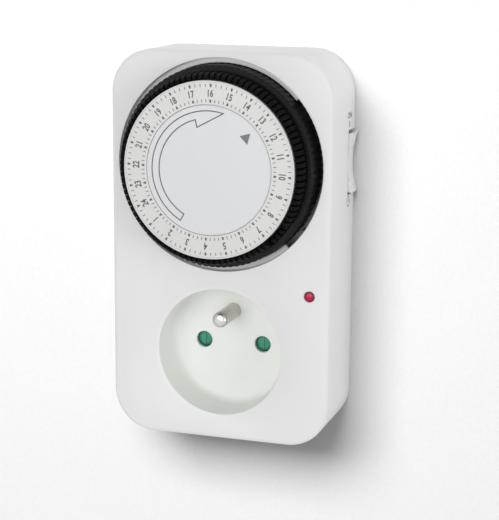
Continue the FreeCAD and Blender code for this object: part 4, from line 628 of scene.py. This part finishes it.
def turned_body(name: str, radii: np.ndarray, depths: np.ndarray, middle: Pair, segments: int = 64) -> Piece:
    """A solid turned round an axis along Y, whose profile starts and ends on the axis.

    The point at turn t and profile place p is X = x + R(p) cos t, Y = depth(p), Z = z + R(p) sin t;
    a single point stands at each end, joined to the next ring by triangles.

    Args:
        name: The piece's name.
        radii: The profile's radii, from the front pole to the back pole.
        depths: The profile's places along Y.
        middle: The axis's X and Z.
        segments: Steps round the axis.
    """
    turn = turns(segments)[None, :]
    radius, depth = radii[1:-1, None], np.broadcast_to(depths[1:-1, None], (len(radii) - 2, segments))
    rings = np.stack([middle[0] + radius * np.cos(turn), depth, middle[1] + radius * np.sin(turn)], axis=-1)
    poles = np.array([[middle[0], depths[0], middle[1]], [middle[0], depths[-1], middle[1]]])
    first, last = (len(radii) - 2) * segments, (len(radii) - 2) * segments + 1
    around = np.arange(segments)
    beside = (around + 1) % segments
    front = np.stack([np.full(segments, first), around, beside], axis=-1)
    back = np.stack([np.full(segments, last), first - segments + beside, first - segments + around], axis=-1)
    quads = [quad[::-1] for quad in grid_faces(len(radii) - 2, segments, False)]
    points = np.concatenate([rings.reshape(-1, 3), poles])
    return mesh_object(name, points, quads + front.tolist() + back.tolist())


@dataclass(frozen=True)
class Board:
    """A flat face that print lies on: a place on it, its right, its up and its outward direction."""

    place: Place
    right: Place
    up: Place
    out: Place

    def lay(self, flat: np.ndarray, rise: np.ndarray | float) -> np.ndarray:
        """Return flat points laid on the face: place + x right + y up + rise out."""
        frame = np.array([self.right, self.up, self.out])
        lifted = np.concatenate([flat, np.broadcast_to(rise, flat.shape[:-1])[..., None]], axis=-1)
        return np.array(self.place) + lifted @ frame


INK_RISE = 0.02
INK_ROOT = -0.05
MITRE_LIMIT = 3.0
LETTER_WEIGHT = 0.026
LETTER_STEPS = 3
DIAL_BOARD = Board((0.0, DIAL_FACE, DIAL_HEIGHT), (1.0, 0.0, 0.0), (0.0, 0.0, 1.0), (0.0, -1.0, 0.0))


def rectangles(sides: Rows) -> np.ndarray:
    """Return the corners, counter-clockwise, of rectangles given by left, low, right and high."""
    return np.array(sides)[:, [[0, 1], [2, 1], [2, 3], [0, 3]]]


def prisms(outlines: np.ndarray, board: Board) -> Form:
    """Return thin prisms with flat tops over outlines that have the same number of corners.

    Args:
        outlines: Count by corners by 2, each outline counter-clockwise.
        board: The face they lie on.
    """
    count, corners, _ = outlines.shape
    points = np.stack([board.lay(outlines, INK_ROOT), board.lay(outlines, INK_RISE)], axis=1)
    base = (np.arange(count) * 2 * corners)[:, None]
    corner = np.arange(corners)
    tops = (base + corners + corner).tolist()
    roots = (base + corner[::-1]).tolist()
    beside = (corner + 1) % corners
    sides = base[..., None] + np.stack([corner, beside, corners + beside, corners + corner], axis=-1)
    return points.reshape(-1, 3), tops + roots + sides.reshape(-1, 4).tolist()


def ribbon(path: np.ndarray, width: float, board: Board) -> Form:
    """Return a closed line of ink along a closed path.

    Each corner moves half a width to both sides along the mitre of its two edges, which is
    the sum of their normals divided by one plus the normals' dot product. MITRE_LIMIT is
    the most that a sharp corner lengthens it. The section's four points follow round the path.

    Args:
        path: Corners of the path, counter-clockwise.
        width: The line's width.
        board: The face it lies on.
    """
    before = path - np.roll(path, 1, axis=0)
    after = np.roll(path, -1, axis=0) - path
    normals = [np.stack([edge[:, 1], -edge[:, 0]], axis=-1) / np.linalg.norm(edge, axis=1)[:, None]
               for edge in (before, after)]
    mitre = (normals[0] + normals[1]) / (1.0 + np.sum(normals[0] * normals[1], axis=1))[:, None]
    reach = np.linalg.norm(mitre, axis=1)[:, None]
    mitre *= np.minimum(reach, MITRE_LIMIT) / reach
    outer, inner = path + mitre * width / 2, path - mitre * width / 2
    section = np.stack([board.lay(inner, INK_ROOT), board.lay(inner, INK_RISE),
                        board.lay(outer, INK_RISE), board.lay(outer, INK_ROOT)], axis=1)
    return section.reshape(-1, 3), grid_faces(len(path), 4, True)


def lettering(text: str, height: float, squeeze: float, board: Board) -> Form:
    """Return a word in plain letters, centred on the board's place.

    Args:
        text: The word.
        height: The letters' height.
        squeeze: Width of the letters against their usual width.
        board: The face it lies on.
    """
    curve = bpy.data.curves.new("letters", "FONT")
    curve.body, curve.size, curve.extrude = text, 1.0, 0.5
    curve.offset, curve.resolution_u = LETTER_WEIGHT, LETTER_STEPS
    writer = bpy.data.objects.new("letters", curve)
    mesh = bpy.data.meshes.new_from_object(writer)
    flat = coordinates(mesh)
    faces = [list(polygon.vertices) for polygon in mesh.polygons]
    bpy.data.objects.remove(writer)
    bpy.data.curves.remove(curve)
    bpy.data.meshes.remove(mesh)
    low, high = flat.min(0), flat.max(0)
    scale = height / (high[1] - low[1])
    level = (flat[:, :2] - (low + high)[:2] / 2) * np.array([scale * squeeze, scale])
    rise = np.where(flat[:, 2] > 0, INK_RISE, INK_ROOT)
    return board.lay(level, rise), faces


def gather(name: str, parts: list[Form]) -> Piece:
    """Join points and faces into one object, with each part's vertex numbers moved up."""
    points = np.concatenate([part[0] for part in parts])
    starts = np.cumsum([0] + [len(part[0]) for part in parts[:-1]])
    faces = [[int(corner + start) for corner in face]
             for (_, part), start in zip(parts, starts) for face in part]
    return mesh_object(name, points, faces)


@dataclass(frozen=True)
class Fitting:
    """What a piece of the scene rides on, the record slot it stands for and its own finish."""

    body: str
    slot: str
    finish: str


class Dresser:
    """Puts pieces on their bodies and makes smooth copies of CAD nodes."""

    def __init__(self, frame: dict[str, Any], palette: Palette) -> None:
        """Keep the frame and the finishes."""
        self.nodes: dict[str, Piece] = frame["nodes"]
        self.bodies = {node: body for body, members in frame["record"]["behaviour"]["bodies"].items()
                       for node in members}
        self.palette = palette

    def fit(self, piece: Piece, fitting: Fitting) -> None:
        """Give a piece its finish and its body."""
        piece.data.materials.append(self.palette.materials[fitting.finish])
        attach(piece, fitting.body)
        LOG.info("%s: %d faces on %s", piece.name, len(piece.data.polygons), fitting.body)

    def skin(self, node: str, angle: float = 32.0, bevel: float = 0.0, segments: int = 2) -> Piece:
        """Stand a merged, smooth copy in for a CAD node.

        The copy's points are the node's points with equal ones merged, found as the distinct
        rows of their rounded coordinates.

        Args:
            node: The node's name.
            angle: Edges sharper than this many degrees stay sharp.
            bevel: Width of the rounding on sharp edges, or none at 0.
            segments: Steps across the rounding.

        Returns:
            The copy.
        """
        source = self.nodes[node].data
        corners = np.zeros(len(source.loops), dtype=np.int64)
        source.loops.foreach_get("vertex_index", corners)
        rounded = np.round(coordinates(source) / MM, MERGE_DIGITS)
        points, number = np.unique(rounded, axis=0, return_inverse=True)
        triangles = number.reshape(-1)[corners].reshape(-1, 3)
        whole = (triangles != np.roll(triangles, 1, axis=1)).all(axis=1)
        piece = mesh_object(node + "_skin", points, triangles[whole].tolist())
        smooth(piece, angle)
        if bevel:
            rounding = piece.modifiers.new("edge_rounding", "BEVEL")
            rounding.width, rounding.segments = bevel * MM, segments
            rounding.limit_method, rounding.angle_limit = "ANGLE", math.radians(angle)
            rounding.harden_normals, rounding.use_clamp_overlap = True, True
        slot = self.slot_of(node)
        self.fit(piece, Fitting(self.bodies[node], slot, slot))
        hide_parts(node)
        return piece

    def slot_of(self, node: str) -> str:
        """Return the record slot of a CAD node from its finish's name."""
        return self.nodes[node].material_slots[0].material.name.removesuffix("_finish")


# Sub-assemblies

@dataclass
class CaseShell:
    """The two housings, the rocker, the lamp lens and the marks beside the rocker."""

    dresser: Dresser
    side: float = 34.2
    mark_depth: float = -23.2
    upper_mark: float = 68.7
    lower_mark: float = 45.3
    clock_radius: float = 1.5
    clock_steps: int = 40
    line: float = 0.36
    bar: Rows = ((-0.35, -0.9, 0.35, 0.9),)
    hands: Rows = ((-0.16, -0.1, 0.16, 0.95), (0.0, -0.16, 0.8, 0.16))
    word_height: float = 1.9
    word_squeeze: float = 1.25
    word_rise: float = 2.6
    lens_radius: float = 1.6
    lens_rise: float = 0.4
    lens_steps: int = 14
    lens_body: Rows = ((1.6, 2.0), (2.3, 2.0), (2.3, 3.0), (1.6, 3.0), (1.6, 4.6), (0.0, 4.6))

    def build(self) -> None:
        """Make the shell's pieces."""
        for node in ("front_housing", "rear_housing", "rocker", "housing_screws"):
            self.dresser.skin(node)
        self.lens()
        self.marks()

    def lens(self) -> None:
        """The lamp's lens: a low dome over its neck and collar.

        The dome's point at rise angle t is radius R sin t and depth -H cos t from the case's face.
        """
        low, high = (np.array(corner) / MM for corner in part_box("indicator_lens"))
        rise = np.linspace(0.0, math.pi / 2, self.lens_steps)
        face = low[1] + self.lens_rise
        body = np.array(self.lens_body)
        radii = np.concatenate([self.lens_radius * np.sin(rise), body[:, 0]])
        depths = np.concatenate([face - self.lens_rise * np.cos(rise), face + body[:, 1]])
        piece = turned_body("lamp_lens", radii, depths, ((low[0] + high[0]) / 2, (low[2] + high[2]) / 2))
        smooth(piece, 40.0)
        self.dresser.fit(piece, Fitting("case_body", "lens_red", "lens_red"))
        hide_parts("indicator_lens")

    def board(self, height: float) -> Board:
        """Return a place on the right side of the case at a height."""
        return Board((self.side, self.mark_depth, height), (0.0, 1.0, 0.0), (0.0, 0.0, 1.0), (1.0, 0.0, 0.0))

    def marks(self) -> None:
        """The bar and the word that mark on above the rocker, and the clock for the timer below it."""
        lower = self.board(self.lower_mark)
        turn = turns(self.clock_steps)
        ring = self.clock_radius * np.stack([np.cos(turn), np.sin(turn)], axis=-1)
        parts = [prisms(rectangles(self.bar), self.board(self.upper_mark)),
                 lettering("ON", self.word_height, self.word_squeeze,
                           self.board(self.upper_mark + self.word_rise)),
                 ribbon(ring, self.line, lower), prisms(rectangles(self.hands), lower)]
        self.dresser.fit(gather("rocker_marks", parts), Fitting("case_body", "case_white", "print_grey"))


@dataclass
class DialDrum:
    """The turning drum: its tappets, grip ribs and printed scale ring."""

    dresser: Dresser
    number_radius: float = 22.35
    number_height: float = 2.1
    number_squeeze: float = 0.74
    top_hour: int = 16
    top_angle: float = 88.2
    outer_ticks: Pair = (24.1, 25.0)
    inner_ticks: Pair = (19.75, 20.6)
    hour_half: Pair = (0.36, 0.20)
    quarter_half: float = 0.10
    rib_outer: float = 29.88
    rib_deep: float = 0.3
    rib_front: float = -46.7
    rib_back: float = -36.6
    rib_edge: Rows = ((0.58, 0.0, 0.0), (0.35, 0.0, 0.3), (0.05, 0.12, 1.0), (0.0, 0.4, 1.0))
    rib_steps: int = 8

    def build(self) -> None:
        """Make the drum's pieces."""
        self.dresser.skin("drum", angle=35.0)
        self.dresser.skin("scale_ring", angle=35.0)
        for node in ["tappets_pushed"] + ["tappets_group_%d" % number for number in range(1, 9)]:
            self.dresser.skin(node, angle=20.0, bevel=0.12, segments=1)
        self.grip()
        self.numbers()
        self.ticks()

    def board(self, radius: float, degrees: float) -> Board:
        """Return a place on the dial face, with its up pointing away from the middle."""
        turn = math.radians(degrees)
        across, up = math.cos(turn), math.sin(turn)
        return Board((radius * across, DIAL_FACE, DIAL_HEIGHT + radius * up),
                     (up, 0.0, -across), (across, 0.0, up), (0.0, -1.0, 0.0))

    def grip(self) -> None:
        """The ribs round the drum's side that a finger turns it by.

        Each row of the rounded edge, the same at the front and the back, gives how far the
        profile is in from the outside and from the end, and its share of the groove's depth.
        """
        inset, place, share = np.array(self.rib_edge).T
        radii = self.rib_outer - np.concatenate([inset, inset[::-1]])
        depths = np.concatenate([self.rib_front + place, self.rib_back - place[::-1]])
        weight = np.concatenate([share, share[::-1]])
        ring = turned_ring("drum_grip", radii, depths, DIAL_HEIGHT, (QUARTERS, self.rib_deep, weight),
                           QUARTERS * self.rib_steps)
        smooth(ring, 60.0)
        self.dresser.fit(ring, Fitting("drum_body", "dial_black", "dial_black"))

    def numbers(self) -> None:
        """The hours 1 to 24, falling clockwise, with their tops outwards."""
        step = 360.0 / HOURS
        words = [lettering(str(hour), self.number_height, self.number_squeeze,
                           self.board(self.number_radius, self.top_angle + step * (hour - self.top_hour)))
                 for hour in range(1, HOURS + 1)]
        self.dresser.fit(gather("dial_numbers", words), Fitting("drum_body", "scale_white", "print_black"))

    def ticks(self) -> None:
        """The quarter-hour ticks in two rings, with a bold wedge on each hour.

        A tick at turn t runs from its low to its high radius, and its side is half its width
        at each end: point = radius times (cos t, sin t) + side times (-sin t, cos t).
        """
        step = np.arange(QUARTERS)
        turn = np.radians(self.top_angle + step * 360.0 / QUARTERS)[:, None]
        cos, sin = np.cos(turn), np.sin(turn)
        hour = step % (QUARTERS // HOURS) == 0
        wide, slim = (np.where(hour, half, self.quarter_half) for half in self.hour_half)
        parts = []
        for (low, high), at_low, at_high in ((self.outer_ticks, slim, wide), (self.inner_ticks, wide, slim)):
            radius = np.array([low, low, high, high])
            side = np.stack([at_low, -at_low, -at_high, at_high], axis=1)
            flat = np.stack([radius * cos - side * sin, radius * sin + side * cos], axis=-1)
            parts.append(prisms(flat, DIAL_BOARD))
        self.dresser.fit(gather("dial_ticks", parts), Fitting("drum_body", "scale_white", "print_black"))


@dataclass
class HubFace:
    """The still disc in the middle of the dial, with its arrow and pointer."""

    dresser: Dresser
    arrow_outer: float = 17.3
    arrow_inner: float = 15.1
    arrow_start: float = 240.5
    arrow_end: float = 74.6
    arrow_steps: tuple[int, int] = (60, 50)
    notch: float = 104.9
    barb: Pair = (12.88, 105.4)
    line: float = 0.34
    pointer: Rows = ((17.06, 41.7), (14.18, 47.7), (14.30, 34.3))
    bead_section: Rows = (
        (-0.47, 0.02), (-0.34, -0.025), (-0.22, -0.04), (-0.12, -0.025), (-0.05, 0.02), (-0.02, 0.08),
        (-0.02, 0.345), (-0.47, 0.2))

    def build(self) -> None:
        """Make the disc and its print: the arrow's outline, of two arcs and a barb, and the pointer."""
        self.dresser.skin("hub_disc", angle=40.0)
        self.bead()
        arcs = ((self.arrow_outer, self.arrow_end, self.arrow_start, self.arrow_steps[0]),
                (self.arrow_inner, self.arrow_start, self.notch, self.arrow_steps[1]))
        polar = np.concatenate([np.stack([np.full(steps, radius), np.linspace(first, last, steps)], axis=-1)
                                for radius, first, last, steps in arcs] + [np.array([self.barb])])
        arrow = ribbon(self.flat(polar), self.line, DIAL_BOARD)
        self.dresser.fit(gather("turning_arrow", [arrow]), Fitting("case_body", "hub_face", "print_outline"))
        pointer = prisms(self.flat(np.array(self.pointer))[None], DIAL_BOARD)
        self.dresser.fit(gather("time_pointer", [pointer]), Fitting("case_body", "hub_face", "print_grey"))

    def bead(self) -> None:
        """The low bead that rounds the disc's edge, a closed section carried round the axis."""
        low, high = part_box("hub_disc")
        edge = (high[0] - low[0]) / 2 / MM
        section = np.array(self.bead_section)
        ring = turned_ring("hub_bead", edge + section[:, 0], DIAL_FACE + section[:, 1], DIAL_HEIGHT)
        smooth(ring, 50.0)
        self.dresser.fit(ring, Fitting("case_body", "hub_face", "hub_face"))

    @staticmethod
    def flat(polar: np.ndarray) -> np.ndarray:
        """Return X = r cos a and Z = r sin a for rows of radius and angle in degrees."""
        turn = np.radians(polar[:, 1])
        return polar[:, :1] * np.stack([np.cos(turn), np.sin(turn)], axis=-1)


@dataclass
class OutletCup:
    """The earth pin, the shutter in the recess, and the spring that the shutter presses together."""

    dresser: Dresser
    shutter_travel: float = 5.6

    def build(self) -> None:
        """Make the recess's pieces."""
        self.dresser.skin("outlet_earth_pin", angle=40.0)
        self.dresser.skin("shutter", angle=25.0, bevel=0.15)
        spring = self.dresser.skin("shutter_spring", angle=60.0)
        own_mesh(spring)


@dataclass
class PlugEnd:
    """The pins, earth socket and side clips on the back."""

    dresser: Dresser
    nodes: tuple[str, ...] = ("plug_pin_live", "plug_pin_neutral", "plug_earth_socket",
                              "earth_clip_upper", "earth_clip_lower")

    def build(self) -> None:
        """Make the plug's pieces."""
        for node in self.nodes:
            self.dresser.skin(node, angle=40.0)


@dataclass(frozen=True)
class Lamp:
    """A flat lamp that faces the middle of the timer, squat times as tall as wide."""

    name: str
    place: Place
    width: float
    power: float
    squat: float = 1.0
    aim: Place = (0.0, -30.0, 30.0)

    def hang(self, receivers: bpy.types.Collection) -> None:
        """Add the lamp to the scene, where the receivers' collection says what it lights."""
        data = bpy.data.lights.new(self.name, "AREA")
        data.shape, data.energy = "RECTANGLE", self.power
        data.size, data.size_y = self.width * MM, self.width * MM * self.squat
        holder = bpy.data.objects.new(self.name, data)
        bpy.context.scene.collection.objects.link(holder)
        place = np.array(self.place) * MM
        across, deep, up = np.array(self.aim) * MM - place
        holder.location = place.tolist()
        holder.rotation_euler = (math.pi / 2 + math.atan2(up, math.hypot(across, deep)), 0.0,
                                 math.atan2(-across, deep))
        holder.light_linking.receiver_collection = receivers


@dataclass
class Studio:
    """The wall behind the timer, the floor, the lights, the sky and the camera."""

    room: float = 1600.0
    wall_depth: float = -16.9
    floor_height: float = -150.0
    camera_place: Place = (147.892, -470.193, 125.381)
    camera_turn: tuple[float, float, float] = (1.36021544, -0.00725808, 0.31469562)
    lens: float = 107.3769
    sensor: float = 36.0
    clip: Pair = (10.0, 20000.0)
    sky: float = 0.46
    wall_glow: float = 0.01
    wall_tone: float = 0.46
    floor_tone: float = 0.80
    floor_glow: float = 0.62
    fibre_scale: float = 900.0
    fibre_bump: float = 0.01
    tone_swing: float = 0.01
    patch_margin: float = 0.3
    timer_lamps: tuple[Lamp, ...] = (
        Lamp("key_light", (-60.0, -950.0, 110.0), 650.0, 4.1),
        Lamp("fill_light", (900.0, -500.0, -80.0), 600.0, 3.5),
        Lamp("back_light", (-220.0, 950.0, 330.0), 650.0, 4.4),
    )
    shade_lamp: Lamp = Lamp("shade_light", (-180.0, -1000.0, 657.0), 860.0, 30.5, 0.7)

    def build(self) -> None:
        """Make everything that is not part of the timer."""
        size, low, deep = self.room, self.floor_height, self.wall_depth
        near, far = ((-size, -size, low), (size, -size, low)), ((-size, deep, low), (size, deep, low))
        over = ((-size, deep, size), (size, deep, size))
        wall = mesh_object("backdrop_wall", np.array(far + over[::-1]), [[0, 1, 2, 3]])
        floor = mesh_object("floor", np.array(near + far[::-1]), [[0, 1, 2, 3]])
        wall.data.materials.append(self.paper("wall_paper", self.wall_tone, self.wall_glow))
        floor.data.materials.append(self.paper("floor_paper", self.floor_tone, self.floor_glow))
        self.light(wall, floor)
        self.world()
        camera = bpy.data.objects.new("camera", bpy.data.cameras.new("camera"))
        bpy.context.scene.collection.objects.link(camera)
        camera.location = [value * MM for value in self.camera_place]
        camera.rotation_euler = self.camera_turn
        camera.data.lens, camera.data.sensor_width = self.lens, self.sensor
        camera.data.clip_start, camera.data.clip_end = (value * MM for value in self.clip)
        bpy.context.scene.camera = camera
        bpy.context.scene.view_settings.view_transform = "Standard"

    def light(self, wall: Piece, floor: Piece) -> None:
        """Hang the lamps: one lights only the wall, and the others all but the wall and the floor."""
        papers, shielded = (bpy.data.collections.new(name) for name in ("papers", "shielded_papers"))
        papers.objects.link(wall)
        for sheet in (wall, floor):
            shielded.objects.link(sheet)
        for member in shielded.collection_objects:
            member.light_linking.link_state = "EXCLUDE"
        for lamp in self.timer_lamps:
            lamp.hang(shielded)
        self.shade_lamp.hang(papers)

    def paper(self, name: str, tone: float, glow: float) -> bpy.types.Material:
        """Return a matt paper that is clear from behind.

        Behind the case it also lets soft light and shadow rays through, so that the case's back is lit.

        Args:
            name: The material's name.
            tone: How much light it reflects.
            glow: Its own light, for camera, glossy and transmitted rays only.

        Returns:
            The material.
        """
        material = bpy.data.materials.new(name)
        material.use_nodes = True
        material.node_tree.nodes.clear()
        wiring = Wiring(material.node_tree)
        where = wiring.add("NodeTexCoord").outputs["Object"]
        fibre = wiring.noise(where, self.fibre_scale, 3.0)
        bump = wiring.add("NodeBump", {"Height": fibre, "Distance": self.fibre_bump * MM})
        tint = wiring.swing(fibre, tone - self.tone_swing, tone + self.tone_swing)
        matt = wiring.add("NodeBsdfDiffuse", {"Color": tint, "Normal": bump.outputs[0]})
        rays, seen = wiring.seen()
        light = wiring.add("NodeEmission", {"Strength": wiring.maths("MULTIPLY", seen, glow)})
        both = wiring.add("NodeAddShader", {0: matt.outputs[0], 1: light.outputs[0]})
        clear = wiring.add("NodeBsdfTransparent")
        low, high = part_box("front_housing")
        parts = wiring.add("NodeSeparateXYZ", {0: where})
        covered = []
        for axis, place in (("X", 0), ("Z", 2)):
            middle, half = (low[place] + high[place]) / 2, (high[place] - low[place]) / 2
            off = wiring.maths("ABSOLUTE", wiring.maths("SUBTRACT", parts.outputs[axis], middle))
            covered.append(wiring.maths("LESS_THAN", off, half + self.patch_margin * MM))
        soft = wiring.maths("MAXIMUM", rays.outputs["Is Diffuse Ray"], rays.outputs["Is Shadow Ray"])
        behind = wiring.maths("MULTIPLY", wiring.maths("MULTIPLY", *covered), soft)
        side = wiring.add("NodeNewGeometry").outputs["Backfacing"]
        mixed = wiring.add("NodeMixShader", {0: wiring.maths("MAXIMUM", side, behind), 1: both.outputs[0],
                                             2: clear.outputs[0]})
        wiring.add("NodeOutputMaterial", {"Surface": mixed.outputs[0]})
        return material

    def world(self) -> None:
        """Light everything softly from all round, and show white where the camera sees past the stage."""
        world = bpy.data.worlds.new("soft_sky")
        bpy.context.scene.world = world
        world.use_nodes = True
        wiring = Wiring(world.node_tree)
        background = world.node_tree.nodes["Background"]
        background.inputs["Color"].default_value = (1.0, 1.0, 1.0, 1.0)
        wiring.join(wiring.spread(wiring.seen()[1], 0.0, 1.0, self.sky, 1.0), background.inputs["Strength"])


def main() -> None:
    """Load the frame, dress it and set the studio."""
    logging.basicConfig(level=logging.INFO, format="%(message)s")
    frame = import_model()
    palette = Palette()
    palette.dress_nodes(frame["nodes"])
    dresser = Dresser(frame, palette)
    for assembly in (CaseShell(dresser), DialDrum(dresser), HubFace(dresser), OutletCup(dresser),
                     PlugEnd(dresser)):
        assembly.build()
        LOG.info("built %s", type(assembly).__name__)
    Studio().build()


if __name__ == "__main__":
    main()
